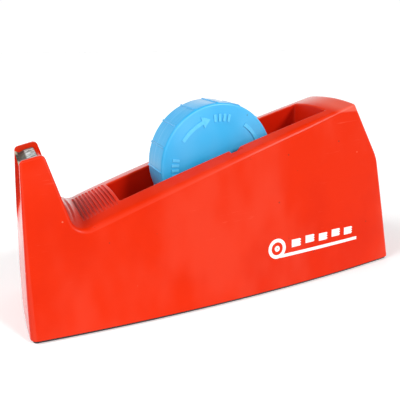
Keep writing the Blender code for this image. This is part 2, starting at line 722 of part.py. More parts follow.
def make_base_plate(black):
    loop = foot_loop(WALL + FIT_GAP, plate_top())
    plate = prism("base_plate", loop, FOOT_LIFT, plate_top(), "z", black)
    hole = SCREW_RADIUS + PILOT_GAP
    head = SCREW_HEAD_RADIUS + FIT_GAP
    for number, (x, y) in enumerate(boss_places(), 1):
        profile = [
            (0, -MM), (head, -MM), (head, FIT_GAP), (hole, FIT_GAP + SCREW_HEAD_HEIGHT),
            (hole, PLATE_THICKNESS + MM), (0, PLATE_THICKNESS + MM),
        ]
        cutter = turned(f"countersink_{number}", profile, (x, y, FOOT_LIFT), "z", None, steps=16)
        boolean(plate, cutter)
    return plate


def make_pad(foam):
    top = FOOT_LIFT - FIT_GAP
    return prism("non_slip_pad", foot_loop(PAD_INSET, FOOT_LIFT), 0, top, "z", foam)


def make_screws(zinc):
    made = []
    for number, (x, y) in enumerate(boss_places(), 1):
        tip = plate_top() + SCREW_LENGTH - 2 * MM - FOOT_LIFT
        profile = [
            (0, 0), (SCREW_HEAD_RADIUS, 0), (SCREW_HEAD_RADIUS, 0.3 * MM),
            (SCREW_RADIUS, SCREW_HEAD_HEIGHT), (SCREW_RADIUS, tip), (0, tip + 1.5 * MM),
        ]
        place = (x, y, FOOT_LIFT + 0.15 * MM)
        made.append(turned(f"base_screw_{number}", profile, place, "z", zinc, steps=16))
    return made


def make_ballast(iron):
    """Cast weights: one under the well's floor and one in the tail."""
    low = plate_top() + BALLAST_GAP
    floor = box(
        "floor_ballast",
        (WELL_FRONT + 4 * MM, -22 * MM, low),
        (WELL_REAR - 4 * MM, 22 * MM, WELL_FLOOR - WALL - BALLAST_GAP),
        iron,
    )
    near, far = WELL_REAR + WALL + BALLAST_GAP, BASE_LENGTH - BOSS_TAIL_INSET - BOSS_RADIUS - MM
    tail = box("tail_ballast", (near, -15 * MM, low), (far, 15 * MM, TAIL_KNEE_HEIGHT * 0.75), iron)
    for item in (floor, tail):
        bevel = item.modifiers.new("edges", "BEVEL")
        bevel.width = 1.5 * MM
        bevel.segments = 1
    return [floor, tail]


def main():
    for item in list(bpy.data.objects):
        bpy.data.objects.remove(item)
    red = material("red_shell_plastic", (0.80, 0.045, 0.012), 0.33)
    blue = material("blue_reel_plastic", (0.03, 0.36, 0.78), 0.35)
    steel = material("blade_steel", (0.55, 0.55, 0.52), 0.3, 1.0)
    zinc = material("zinc_plated_steel", (0.6, 0.6, 0.58), 0.35, 1.0)
    black = material("black_plate_plastic", (0.02, 0.02, 0.02), 0.55)
    foam = material("black_foam_rubber", (0.015, 0.015, 0.015), 0.9)
    iron = material("cast_ballast", (0.12, 0.12, 0.12), 0.7, 0.8)
    nylon = material("white_nylon", (0.8, 0.8, 0.76), 0.45)
    make_housing(red)
    make_blade(steel)
    make_reel_drum(blue)
    make_reel_cover(blue)
    make_axle(zinc)
    make_collar("axle_collar_near", -1, nylon)
    make_collar("axle_collar_far", 1, nylon)
    make_base_plate(black)
    make_pad(foam)
    make_screws(zinc)
    make_ballast(iron)


main()
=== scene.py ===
"""Finished look of a weighted desk tape dispenser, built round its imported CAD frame.

The shell, cutter and reel are rebuilt at a finer grain than the CAD solids, from the same profile
functions. Profile functions measure x from the nose's foot, and everything else is in the frame.
"""

import json
import math

import bmesh
import bpy
from mathutils import Matrix, Vector


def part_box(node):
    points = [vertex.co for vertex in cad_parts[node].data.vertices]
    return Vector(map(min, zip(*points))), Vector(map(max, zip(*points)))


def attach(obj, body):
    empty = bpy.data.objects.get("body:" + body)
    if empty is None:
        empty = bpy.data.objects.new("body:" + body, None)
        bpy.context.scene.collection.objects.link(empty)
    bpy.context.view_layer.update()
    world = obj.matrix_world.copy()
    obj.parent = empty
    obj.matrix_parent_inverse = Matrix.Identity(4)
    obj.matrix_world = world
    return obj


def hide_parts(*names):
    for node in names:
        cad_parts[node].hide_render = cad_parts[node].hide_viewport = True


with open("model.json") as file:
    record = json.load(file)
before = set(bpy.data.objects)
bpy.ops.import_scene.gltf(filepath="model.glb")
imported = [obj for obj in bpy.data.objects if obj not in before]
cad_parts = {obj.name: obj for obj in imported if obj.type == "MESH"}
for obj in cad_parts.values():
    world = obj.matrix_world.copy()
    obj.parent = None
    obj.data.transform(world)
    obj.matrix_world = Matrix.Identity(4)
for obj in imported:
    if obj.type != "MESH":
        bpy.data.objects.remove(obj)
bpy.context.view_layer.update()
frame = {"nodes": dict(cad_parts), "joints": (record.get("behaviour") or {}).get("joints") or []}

MM = 0.001

# --- Shell sizes, as in the part ---
BASE_LENGTH = 251.4 * MM
FOOT_HALF_WIDTH = 38.9 * MM
FOOT_BOW = 6.7 * MM
TAIL_HEIGHT = 114 * MM
TOP_BOW = 3.1 * MM
RIM_WIDTH = 8.4 * MM
TOP_CROWN = 3.0 * MM
TAIL_CROWN = 1.2 * MM
CROWN_FADE = 0.35
NOSE_CROWN = 1 * MM
WALL = 3 * MM
FOOT_LIFT = 2 * MM
CORNER_RADIUS = 4 * MM
TOP_EDGE_RADIUS = 3 * MM
TIP_FRONT_HEIGHT = 96.4 * MM
TIP_BACK_HEIGHT = 99 * MM
TIP_BACK_X = 18.4 * MM
TIP_CORNER_RADIUS = 2.5 * MM
NOSE_LEAN = 0.045
NOSE_CURVE = 0.24
TOWER_TAPER = 1.85
CHEEK = 2.7 * MM
CHEEK_EDGE_RADIUS = 1.1 * MM
VALLEY_X = 29.4 * MM
VALLEY_HEIGHT = 57.4 * MM
VALLEY_RADIUS = 7.5 * MM
VALLEY_DIP = 1.5 * MM
VALLEY_DIP_RUN = 6 * MM
TOP_ARCH = 1.6 * MM
RECESS_FOOT_HEIGHT = 53 * MM
RECESS_SLOPE = 0.26
BACK_CHANNEL_DEPTH = 1.6 * MM
BACK_CHANNEL_LENGTH = 13 * MM
TAIL_TOP_SETBACK = 39.8 * MM
TAIL_KNEE_SETBACK = 17.6 * MM
TAIL_KNEE_HEIGHT = 77 * MM
TAIL_KNEE_RADIUS = 30 * MM
TAIL_CORNER_RADIUS = 2 * MM

# --- Reel and well ---
REEL_RADIUS = 37.5 * MM
REEL_WALL = 2 * MM
RIB_COUNT = 16
RIB_HEIGHT = 0.6 * MM
RIB_WIDTH = 1.3 * MM
RIB_PHASE = math.radians(91.5)
RIM_EDGE_RADIUS = 1.5 * MM
BORE_GAP = 0.12 * MM
HUB_TUBE_RADIUS = 5.5 * MM
MARK_RADIUS = 29 * MM
MARK_HEIGHT = 0.5 * MM
SIDE_CLEARANCE = 4.6 * MM
SLOT_DEPTH = 4 * MM
SLOT_ANGLE = math.radians(54)
SLOT_GAP = 0.2 * MM
WELL_FRONT_ROOM = 13.7 * MM
WELL_REAR_ROOM = 23.4 * MM
TAPE_BUILD = 12.9 * MM
WELL_FLOOR_ROOM = 2 * MM
WELL_CORNER_RADIUS = 1.5 * MM
WELL_EDGE_RADIUS = 0.7 * MM

# --- Grip grooves and cutter ---
GROOVE_START_X = 34.9 * MM
GROOVE_PITCH = 2.03 * MM
GROOVE_WIDTH = 1.3 * MM
GROOVE_DEPTH = 1.65 * MM
BLADE_THICKNESS = 0.6 * MM
BLADE_DROP = 2.6 * MM
TOOTH_PITCH = 1.5 * MM
TOOTH_DEPTH = 1.0 * MM
BLADE_TAB = 4.5 * MM
FIT_GAP = 0.3 * MM
POST_RADIUS = 4 * MM
POST_FOOT = 5.3 * MM

# --- Camera, from the nose's foot ---
CAMERA_PLACE = (-2.66 * MM, -253.07 * MM, 152.84 * MM)
CAMERA_YAW = math.radians(24.45)
CAMERA_PITCH = math.radians(19.33)
CAMERA_LENS = 41.09

# --- Places taken from the frame ---
spin = next(joint for joint in frame["joints"] if joint["name"] == "reel_spin")
AXLE = Vector(spin["pos_m"])
MIDDLE_X = (BASE_LENGTH + TAIL_CROWN - NOSE_CROWN) / 2
AXLE_X = AXLE.x + MIDDLE_X
AXLE_RADIUS = (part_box("axle")[1][0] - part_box("axle")[0][0]) / 2
REEL_HALF = (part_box("reel_drum")[1][1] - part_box("reel_drum")[0][1]) / 2
WELL_HALF_WIDTH = REEL_HALF + SIDE_CLEARANCE
TOP_HALF_WIDTH = WELL_HALF_WIDTH + RIM_WIDTH
ROLL_RADIUS = REEL_RADIUS + TAPE_BUILD
WELL_FRONT = AXLE_X - ROLL_RADIUS - WELL_FRONT_ROOM
WELL_REAR = AXLE_X + ROLL_RADIUS + WELL_REAR_ROOM
WELL_FLOOR = AXLE.z - ROLL_RADIUS - WELL_FLOOR_ROOM
TAIL_TOP_X = BASE_LENGTH - TAIL_TOP_SETBACK
TAIL_KNEE_X = BASE_LENGTH - TAIL_KNEE_SETBACK


# --- Profile functions ---
def shoulder(x):
    """Height of the long sloping top edge."""
    share = (x - VALLEY_X) / (TAIL_TOP_X - VALLEY_X)
    dip = VALLEY_DIP * math.exp(-max(0.0, x - VALLEY_X) / VALLEY_DIP_RUN)
    rise = (TAIL_HEIGHT - VALLEY_HEIGHT) * share
    return VALLEY_HEIGHT + rise + 4 * TOP_ARCH * share * (1 - share) - dip


def half_width(x, z):
    """Outside half width: bowed in plan, drafted upwards, and drawn in further up the tower."""
    along = 2 * x / BASE_LENGTH - 1
    foot = FOOT_HALF_WIDTH - FOOT_BOW * along**2
    top = TOP_HALF_WIDTH - TOP_BOW * along**2
    rise = (z - FOOT_LIFT) / (TAIL_HEIGHT - FOOT_LIFT)
    above = max(0.0, z - shoulder(x))
    return foot + (top - foot) * rise - TOWER_TAPER * above**2


def nose_x(z):
    return NOSE_LEAN * (z - FOOT_LIFT) + NOSE_CURVE * (z**2 - FOOT_LIFT**2)


def recess_x(z):
    return nose_x(RECESS_FOOT_HEIGHT) + RECESS_SLOPE * (z - RECESS_FOOT_HEIGHT)


def tail_x(z):
    return BASE_LENGTH - TAIL_KNEE_SETBACK * (z - FOOT_LIFT) / (TAIL_KNEE_HEIGHT - FOOT_LIFT)


def tower_back_x(z):
    share = (TIP_BACK_HEIGHT - z) / (TIP_BACK_HEIGHT - shoulder(VALLEY_X))
    return TIP_BACK_X + (VALLEY_X - TIP_BACK_X) * share


def ramp_slope(x):
    return (shoulder(x + MM) - shoulder(x - MM)) / (2 * MM)


def top_crown(x):
    """Crown of the top band, which flattens towards the tail."""
    share = (x - VALLEY_X) / (TAIL_TOP_X - VALLEY_X)
    return TOP_CROWN * (1 - CROWN_FADE * min(1.0, max(0.0, share)))


def top_height(x, y):
    """Height of the crowned top band."""
    reach = half_width(x, shoulder(x))
    rise = top_crown(x) * math.hypot(1, ramp_slope(x))
    return shoulder(x) + rise * max(0.0, 1 - (y / reach) ** 2)


CHEEK_GAP_HALF = half_width(TIP_BACK_X, TIP_BACK_HEIGHT) - CHEEK


# --- Mesh helpers ---
def spread(start, end, count):
    return [start + (end - start) * i / (count - 1) for i in range(count)]


def rounded(corners):
    """A polyline through (x, z, radius, steps) corners, each with its arc."""
    points = []
    for i, (x, z, radius, steps) in enumerate(corners):
        corner = Vector((x, z))
        if not radius or i in (0, len(corners) - 1):
            points.append(corner)
            continue
        back = (Vector(corners[i - 1][:2]) - corner).normalized()
        on = (Vector(corners[i + 1][:2]) - corner).normalized()
        half = back.angle(on) / 2
        centre = corner + (back + on).normalized() * radius / math.sin(half)
        first = corner + back * radius / math.tan(half) - centre
        turn = (corner + on * radius / math.tan(half) - centre).angle_signed(first)
        for share in spread(0, 1, steps):
            c, s = math.cos(turn * share), math.sin(turn * share)
            points.append(centre + Vector((c * first.x - s * first.y, s * first.x + c * first.y)))
    return points


def link(name, mesh):
    item = bpy.data.objects.new(name, mesh)
    bpy.context.scene.collection.objects.link(item)
    return item


def framed(name, points, faces, smooth_angle=30):
    """A closed mesh object from points in the frame."""
    mesh = bpy.data.meshes.new(name)
    mesh.from_pydata(points, [], faces)
    shape = bmesh.new()
    shape.from_mesh(mesh)
    bmesh.ops.remove_doubles(shape, verts=shape.verts, dist=0.002 * MM)
    bmesh.ops.dissolve_degenerate(shape, edges=shape.edges, dist=0.0005 * MM)
    loose = [edge for edge in shape.edges if not edge.link_faces]
    bmesh.ops.delete(shape, geom=loose, context="EDGES")
    bmesh.ops.recalc_face_normals(shape, faces=shape.faces)
    shape.to_mesh(mesh)
    shape.free()
    mesh.shade_smooth()
    mesh.set_sharp_from_angle(angle=math.radians(smooth_angle))
    return link(name, mesh)


def mesh_object(name, points, faces):
    """The same, from points whose x is measured from the nose's foot."""
    return framed(name, [(x - MIDDLE_X, y, z) for x, y, z in points], faces)


def grid_faces(rows, columns, closed=False, ring=False):
    """Quads of a grid. Each row is a closed loop if closed, and the last row meets the first if ring."""
    return [
        (i * columns + j, i * columns + (j + 1) % columns,
         (i + 1) % rows * columns + (j + 1) % columns, (i + 1) % rows * columns + j)
        for i in range(rows if ring else rows - 1)
        for j in range(columns if closed else columns - 1)
    ]


def tube_faces(rows, columns):
    """Quads round closed loops, with a flat face at each end."""
    last = (rows - 1) * columns
    ends = [tuple(range(columns)), tuple(range(last + columns - 1, last - 1, -1))]
    return grid_faces(rows, columns, closed=True) + ends


def loft(name, loops):
    """Closed loops of equal length joined in turn, with a flat face at each end."""
    points = [p for loop in loops for p in loop]
    return mesh_object(name, points, tube_faces(len(loops), len(loops[0])))


def prism(name, loop, low, high, axis):
    """A closed loop extruded along axis "y" (loop in x, z) or "z" (loop in x, y)."""
    def place(point, level):
        return (point[0], level, point[1]) if axis == "y" else (point[0], point[1], level)

    return loft(name, [[place(p, level) for p in loop] for level in (low, high)])


def box(name, low, high):
    loop = [(low[0], low[1]), (high[0], low[1]), (high[0], high[1]), (low[0], high[1])]
    return prism(name, loop, low[2], high[2], "z")


def boolean(item, other, operation="DIFFERENCE"):
    modifier = item.modifiers.new(other.name, "BOOLEAN")
    modifier.object = other
    modifier.operation = operation
    modifier.solver = "EXACT"
    other.hide_render = True


def evaluated_mesh(item):
    graph = bpy.context.evaluated_depsgraph_get()
    graph.update()
    return bpy.data.meshes.new_from_object(item.evaluated_get(graph), depsgraph=graph)


def baked(item):
    """The item's evaluated mesh put back on it, with its modifiers and their tools removed."""
    mesh = evaluated_mesh(item)
    tools = [m.object for m in item.modifiers if m.type == "BOOLEAN"]
    item.modifiers.clear()
    item.data = mesh
    for tool in tools:
        bpy.data.objects.remove(tool)
    return item


def smoothed(item, angle=30):
    item.data.shade_smooth()
    item.data.set_sharp_from_angle(angle=math.radians(angle))
    return item


# --- Shell ---
def skin(name, chain, foot, inset, crowns, radii, rows, arc_steps, band_steps):
    """A closed body under a profile chain: near side, round the edge, crowned band, far side."""
    points, columns = [], 0
    for i, here in enumerate(chain):
        before, after = chain[max(i - 1, 0)], chain[min(i + 1, len(chain) - 1)]
        along = (after - before).normalized()
        inward = Vector((along.y, -along.x))
        if i in (0, len(chain) - 1):
            inward = Vector((1 if i == 0 else -1, 0))
        radius, crown = radii[i], crowns[i]
        side = here + inward * radius
        side_y = half_width(side.x, side.y) - inset
        reach = half_width(here.x, here.y) - inset
        station = [
            (side.x, half_width(side.x, z) - inset, z) for z in spread(foot, side.y, rows)
        ]
        for step in range(1, arc_steps + 1):
            angle = math.pi / 2 * step / arc_steps
            y = reach - radius + (side_y - reach + radius) * math.cos(angle)
            at = side + (here - side) * math.sin(angle)
            at = at - inward * crown * max(0.0, 1 - (y / reach) ** 2)
            station.append((at.x, y, at.y))
        for y in spread(reach - radius, radius - reach, band_steps)[1:]:
            at = here - inward * crown * (1 - (y / reach) ** 2)
            station.append((at.x, y, at.y))
        station += [(x, -y, z) for x, y, z in reversed(station[: rows + arc_steps - 1])]
        columns = len(station)
        points += station
    stations = len(chain)
    near = [i * columns for i in range(stations)]
    tail = [(stations - 1) * columns + j for j in range(1, columns)]
    far = [i * columns + columns - 1 for i in range(stations - 2, -1, -1)]
    nose = list(range(columns - 2, 0, -1))
    return mesh_object(name, points, grid_faces(stations, columns) + [tuple(near + tail + far + nose)])


def outer_chain():
    valley = shoulder(VALLEY_X)
    corners = [(nose_x(z), z, 0, 0) for z in spread(FOOT_LIFT, TIP_FRONT_HEIGHT - 5 * MM, 16)]
    corners += [
        (nose_x(TIP_FRONT_HEIGHT), TIP_FRONT_HEIGHT, TIP_CORNER_RADIUS, 7),
        (TIP_BACK_X, TIP_BACK_HEIGHT, TIP_CORNER_RADIUS, 7),
    ]
    climb = spread(TIP_BACK_HEIGHT - 5 * MM, valley + 8 * MM, 12)
    corners += [(tower_back_x(z), z, 0, 0) for z in climb]
    corners.append((VALLEY_X, valley, VALLEY_RADIUS, 12))
    ramp = spread(VALLEY_X + 9 * MM, TAIL_TOP_X - 3 * MM, 96)
    corners += [(x, shoulder(x), 0, 0) for x in ramp]
    corners += [
        (TAIL_TOP_X, TAIL_HEIGHT, TAIL_CORNER_RADIUS, 7),
        (TAIL_KNEE_X, TAIL_KNEE_HEIGHT, TAIL_KNEE_RADIUS, 10),
    ]
    corners += [(tail_x(z), z, 0, 0) for z in spread(TAIL_KNEE_HEIGHT * 0.75, FOOT_LIFT, 10)]
    return rounded(corners)


def edge_radius(point):
    """Round over of the outline's edge: broad at the corners, fine on the cheeks and the tail."""
    x, z = point
    if x < TIP_BACK_X and z > FOOT_LIFT:
        share = (z - FOOT_LIFT) / (TIP_FRONT_HEIGHT - FOOT_LIFT)
        return max(CHEEK_EDGE_RADIUS, CORNER_RADIUS + (CHEEK_EDGE_RADIUS - CORNER_RADIUS) * share)
    if x < VALLEY_X + 14 * MM:
        share = min(1.0, max(0.0, (x - TIP_BACK_X) / (VALLEY_X + 14 * MM - TIP_BACK_X)))
        return CHEEK_EDGE_RADIUS + (TOP_EDGE_RADIUS - CHEEK_EDGE_RADIUS) * share
    if x > TAIL_TOP_X:
        share = (TAIL_HEIGHT - z) / (TAIL_HEIGHT - FOOT_LIFT)
        return TAIL_CORNER_RADIUS * 0.75 + (CORNER_RADIUS - TAIL_CORNER_RADIUS * 0.75) * share
    tail_share = max(0.0, 1 - (TAIL_TOP_X - x) / (40 * MM))
    return TOP_EDGE_RADIUS + (TAIL_CORNER_RADIUS * 0.75 - TOP_EDGE_RADIUS) * tail_share


def crown_at(point):
    """How far the band between the two sides stands proud on the middle plane."""
    x, z = point
    if x > TAIL_TOP_X:
        return TAIL_CROWN + (top_crown(x) - TAIL_CROWN) * (z / TAIL_HEIGHT) ** 4
    if x >= TIP_BACK_X:
        above = (z - shoulder(VALLEY_X)) / (0.25 * VALLEY_HEIGHT)
        return top_crown(x) * (min(1.0, max(0.0, 1 - above)) if x < VALLEY_X else 1)
    return NOSE_CROWN * min(1.0, max(0.0, 2 - 2 * z / RECESS_FOOT_HEIGHT))


def cavity_chain():
    below, valley = -4 * MM, shoulder(VALLEY_X)
    tower_top = TIP_FRONT_HEIGHT - 15 * MM
    corners = [(nose_x(z) + WALL, z, 0, 0) for z in spread(below, RECESS_FOOT_HEIGHT - 4 * MM, 4)]
    corners += [
        (recess_x(tower_top) + WALL, tower_top, 1 * MM, 3),
        (tower_back_x(tower_top) - WALL, tower_top, 1 * MM, 3),
        (VALLEY_X - WALL, valley - 1.3 * WALL, VALLEY_RADIUS + WALL, 5),
    ]
    tops = spread(VALLEY_X + 16 * MM, TAIL_TOP_X - 6 * MM, 7)
    corners += [(x, shoulder(x) - 1.25 * WALL, 0, 0) for x in tops]
    corners += [
        (TAIL_TOP_X - 0.8 * WALL, TAIL_HEIGHT - 1.25 * WALL, 2 * MM, 3),
        (TAIL_KNEE_X - WALL, TAIL_KNEE_HEIGHT, TAIL_KNEE_RADIUS - WALL, 4),
        (BASE_LENGTH - WALL, FOOT_LIFT, 0, 0),
        (BASE_LENGTH - WALL, below, 0, 0),
    ]
    return rounded(corners)


def make_cavity():
    """The hollow inside the shell, clear of the well's walls, the slot bosses and six posts."""
    chain = cavity_chain()
    radii = [CORNER_RADIUS - WALL if i < 3 else 1 * MM for i in range(len(chain))]
    hollow = skin("hollow", chain, -4 * MM, WALL, [crown_at(p) for p in chain], radii, 5, 2, 7)
    deep = WELL_HALF_WIDTH + SLOT_DEPTH + 2 * MM
    block = box(
        "well_block",
        (WELL_FRONT - WALL, -WELL_HALF_WIDTH - WALL, WELL_FLOOR - WALL),
        (WELL_REAR + WALL, WELL_HALF_WIDTH + WALL, TAIL_HEIGHT + 20 * MM),
    )
    bosses = box(
        "slot_bosses",
        (AXLE_X - 9 * MM, -deep, AXLE.z - 9 * MM),
        (AXLE_X + 16 * MM, deep, TAIL_HEIGHT + 21 * MM),
    )
    boolean(block, bosses, "UNION")
    boolean(hollow, baked(block))
    for number in range(1, 7):
        low, high = (Vector(p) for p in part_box(f"base_screw_{number}"))
        x, y = (low.x + high.x) / 2 + MIDDLE_X, (low.y + high.y) / 2
        ring = [
            (x + POST_RADIUS * math.cos(a), y + POST_RADIUS * math.sin(a))
            for a in (math.tau * i / 24 for i in range(24))
        ]
        top = min(shoulder(x), VALLEY_HEIGHT) + 7 * MM
        boolean(hollow, prism(f"post_{number}", ring, POST_FOOT, top, "z"))
    return baked(hollow)


def round_rectangle(inset, radius, step=1.8 * MM):
    """Plan outline of the well, moved in by inset, with closely spaced points."""
    x0, x1 = WELL_FRONT + inset, WELL_REAR - inset
    y0, y1 = inset - WELL_HALF_WIDTH, WELL_HALF_WIDTH - inset
    r = max(radius - inset, 0.2 * MM)
    loop = []
    along = round((WELL_REAR - WELL_FRONT) / step)
    across = round(2 * WELL_HALF_WIDTH / step)
    for start, end, count in (
        ((x0 + r, y0), (x1 - r, y0), along),
        ((x1, y0 + r), (x1, y1 - r), across),
        ((x1 - r, y1), (x0 + r, y1), along),
        ((x0, y1 - r), (x0, y0 + r), across),
    ):
        for share in spread(0, 1, count):
            loop.append(tuple(a + (b - a) * share for a, b in zip(start, end)))
        corner = Vector((x1 if end[0] > start[0] or end[1] > start[1] else x0,
                         y1 if end[1] > start[1] or end[0] < start[0] else y0))
        middle = Vector((corner.x - math.copysign(r, corner.x - AXLE_X),
                         corner.y - math.copysign(r, corner.y)))
        first = Vector(end) - middle
        for k in range(1, 4):
            turn = math.pi / 2 * k / 4
            c, s = math.cos(turn), math.sin(turn)
            loop.append((middle.x + c * first.x - s * first.y, middle.y + s * first.x + c * first.y))
    return loop


def well_cut():
    """The well with a rounded rim that follows the crowned top, and a coved floor."""
    cove, edge = WELL_CORNER_RADIUS, WELL_EDGE_RADIUS
    loops = []
    for k in range(5):
        angle = math.pi / 2 * k / 4
        inset = cove * (1 - math.sin(angle))
        height = WELL_FLOOR + cove * (1 - math.cos(angle))
        loops.append([(x, y, height) for x, y in round_rectangle(inset, cove)])
    for k in range(6):
        angle = math.radians(75) * k / 5
        loop = round_rectangle(-edge * (1 - math.cos(angle)), cove)
        drop = edge * (1 - math.sin(angle))
        loops.append([(x, y, top_height(x, y) - drop) for x, y in loop])
    outer = round_rectangle(-edge - 0.3 * MM, cove)
    loops.append([(x, y, top_height(x, y) + 0.12 * MM) for x, y in outer])
    loops.append([(x, y, TAIL_HEIGHT + 30 * MM) for x, y in outer])
    return loft("well_cut", loops)


def slot_cut():
    """Both axle slots in one: a round seat that opens up and back to the well's edge."""
    radius = AXLE_RADIUS + SLOT_GAP
    up = Vector((math.cos(SLOT_ANGLE), math.sin(SLOT_ANGLE)))
    across = Vector((-up.y, up.x)) * radius
    seat = Vector((AXLE_X, AXLE.z))
    loop = [
        seat + across * math.cos(a) - up * radius * math.sin(a) for a in spread(0, math.pi, 25)
    ]
    loop += [seat - across + up * 40 * MM, seat + across + up * 40 * MM]
    depth = WELL_HALF_WIDTH + SLOT_DEPTH
    return prism("slot_cut", loop, -depth, depth, "y")


def blade_line():
    """Top of the cutter's sheet: toothed lip, dip, fold and the end of the landing platform."""
    def under_cheek(x):
        share = (x - nose_x(TIP_FRONT_HEIGHT)) / (TIP_BACK_X - nose_x(TIP_FRONT_HEIGHT))
        return TIP_FRONT_HEIGHT + (TIP_BACK_HEIGHT - TIP_FRONT_HEIGHT) * share - BLADE_DROP

    lip = nose_x(TIP_FRONT_HEIGHT)
    return [
        (lip, under_cheek(lip) + 0.7 * MM),
        (lip + 2.1 * MM, under_cheek(lip) - 0.6 * MM),
        (lip + 4.7 * MM, under_cheek(lip + 4.7 * MM)),
        (TIP_BACK_X - 1.9 * MM, under_cheek(TIP_BACK_X - 1.9 * MM)),
    ]


def seat_line():
    """Top of the web under the cutter, from front to back."""
    _, dip, fold, back = blade_line()
    drop = BLADE_THICKNESS + FIT_GAP
    return [(dip[0] + 1.2 * MM, dip[1] + 0.8 * MM - drop), (fold[0], fold[1] - drop),
            (back[0] - BLADE_THICKNESS - 2 * FIT_GAP, back[1] - drop)]


def front_recess_cut():
    """The space in front of the web, from its foot on the nose up to the cutter."""
    top = seat_line()[0][1]
    narrow = half_width(nose_x(top), top)
    loops = []
    for z in spread(RECESS_FOOT_HEIGHT - 0.5 * MM, top, 24) + [top + MM]:
        level = min(z, top)
        w = CHEEK_GAP_HALF + half_width(nose_x(level), level) - narrow
        back = recess_x(z)
        loops.append([(-10 * MM, -w, z), (back - MM, -w, z), (back - 0.3 * MM, 0.3 * MM - w, z),
                      (back, MM - w, z), (back, w - MM, z), (back - 0.3 * MM, w - 0.3 * MM, z),
                      (back - MM, w, z), (-10 * MM, w, z)])
    return loft("front_recess", loops)


def cutter_bay_cut():
    """Above the web: the cutter's seat, the slot for its tab and the channel behind the tip."""
    web = seat_line()
    slot_floor = web[-1][1] - BLADE_TAB - 2 * FIT_GAP
    slot_back = web[-1][0] + BLADE_THICKNESS + 3 * FIT_GAP
    rear_lip = web[-1][1] - MM
    channel_foot = TIP_BACK_HEIGHT - BACK_CHANNEL_LENGTH - BLADE_DROP
    loop = [(-10 * MM, web[0][1])] + web
    loop += [
        (web[-1][0], slot_floor),
        (slot_back, slot_floor),
        (slot_back, rear_lip),
        (tower_back_x(rear_lip) - BACK_CHANNEL_DEPTH, rear_lip),
        (tower_back_x(channel_foot), channel_foot),
        (40 * MM, channel_foot + 2 * MM),
        (40 * MM, TIP_BACK_HEIGHT + 15 * MM),
        (-10 * MM, TIP_BACK_HEIGHT + 15 * MM),
    ]
    return prism("cutter_bay", loop, -CHEEK_GAP_HALF, CHEEK_GAP_HALF, "y")


def groove_tool():
    """One groove's cutter, across its path: slanted walls and a narrow flat floor."""
    half, deep, high = GROOVE_WIDTH / 2, 0.0, 6 * MM
    reach = WELL_HALF_WIDTH + 3 * MM
    loop = [(-0.8 * half, deep), (0.8 * half, deep), (half, 0.5 * MM),
            (half + 0.5 * MM, high), (-half - 0.5 * MM, high), (-half, 0.5 * MM)]
    points = [(x, y, z) for y in (-reach, reach) for x, z in loop]
    return framed("groove_tool", points, tube_faces(2, len(loop)))


# --- Geometry nodes ---
def copies_tree():
    """Sets copies of a tool at even steps along a path, each turned to the path in x and z."""
    tree = bpy.data.node_groups.new("copies along a path", "GeometryNodeTree")
    face = tree.interface
    for name, kind in (
        ("Path", "NodeSocketGeometry"), ("Tool", "NodeSocketObject"),
        ("Count", "NodeSocketInt"), ("Size", "NodeSocketFloat"), ("Finish", "NodeSocketMaterial"),
    ):
        face.new_socket(name=name, in_out="INPUT", socket_type=kind)
    face.new_socket(name="Copies", in_out="OUTPUT", socket_type="NodeSocketGeometry")
    start = tree.nodes.new("NodeGroupInput")
    end = tree.nodes.new("NodeGroupOutput")
    steps = tree.nodes.new("GeometryNodeResampleCurve")
    tangent = tree.nodes.new("GeometryNodeInputTangent")
    turn = tree.nodes.new("FunctionNodeAlignRotationToVector")
    turn.axis, turn.pivot_axis = "X", "Y"
    tool = tree.nodes.new("GeometryNodeObjectInfo")
    tool.transform_space = "ORIGINAL"
    place = tree.nodes.new("GeometryNodeInstanceOnPoints")
    real = tree.nodes.new("GeometryNodeRealizeInstances")
    finish = tree.nodes.new("GeometryNodeSetMaterial")
    for a, b in (
        (start.outputs["Path"], steps.inputs["Curve"]),
        (start.outputs["Count"], steps.inputs["Count"]),
        (start.outputs["Tool"], tool.inputs["Object"]),
        (tangent.outputs["Tangent"], turn.inputs["Vector"]),
        (steps.outputs["Curve"], place.inputs["Points"]),
        (tool.outputs["Geometry"], place.inputs["Instance"]),
        (turn.outputs["Rotation"], place.inputs["Rotation"]),
        (start.outputs["Size"], place.inputs["Scale"]),
        (place.outputs["Instances"], real.inputs["Geometry"]),
        (real.outputs["Geometry"], finish.inputs["Geometry"]),
        (start.outputs["Finish"], finish.inputs["Material"]),
        (finish.outputs["Geometry"], end.inputs["Copies"]),
    ):
        tree.links.new(a, b)
    return tree


def path_object(name, points, closed):
    curve = bpy.data.curves.new(name, "CURVE")
    curve.dimensions = "3D"
    line = curve.splines.new("POLY")
    line.points.add(len(points) - 1)
    for slot, point in zip(line.points, points):
        slot.co = (*point, 1)
    line.use_cyclic_u = closed
    return link(name, curve)


def copies(name, tree, points, tool, count, finish=None, closed=False):
    """A plain mesh of the tool's copies along the path."""
    path = path_object(name + "_path", points, closed)
    modifier = path.modifiers.new("copies", "NODES")
    modifier.node_group = tree
    values = {"Tool": tool, "Count": count, "Size": 1.0, "Finish": finish}
    for item in tree.interface.items_tree:
        if item.item_type == "SOCKET" and item.in_out == "INPUT" and item.name in values:
            modifier[item.identifier] = values[item.name]
    mesh = evaluated_mesh(path)
    mesh.name = name
    bpy.data.objects.remove(path)
    bpy.data.objects.remove(tool)
    return link(name, mesh)


def around_axle(radius, across, start):
    """A circle round the axle, run so that a copy's own z points outwards."""
    turns = [start - math.tau * i / 256 for i in range(256)]
    return [(AXLE.x + radius * math.cos(a), across, AXLE.z + radius * math.sin(a)) for a in turns]


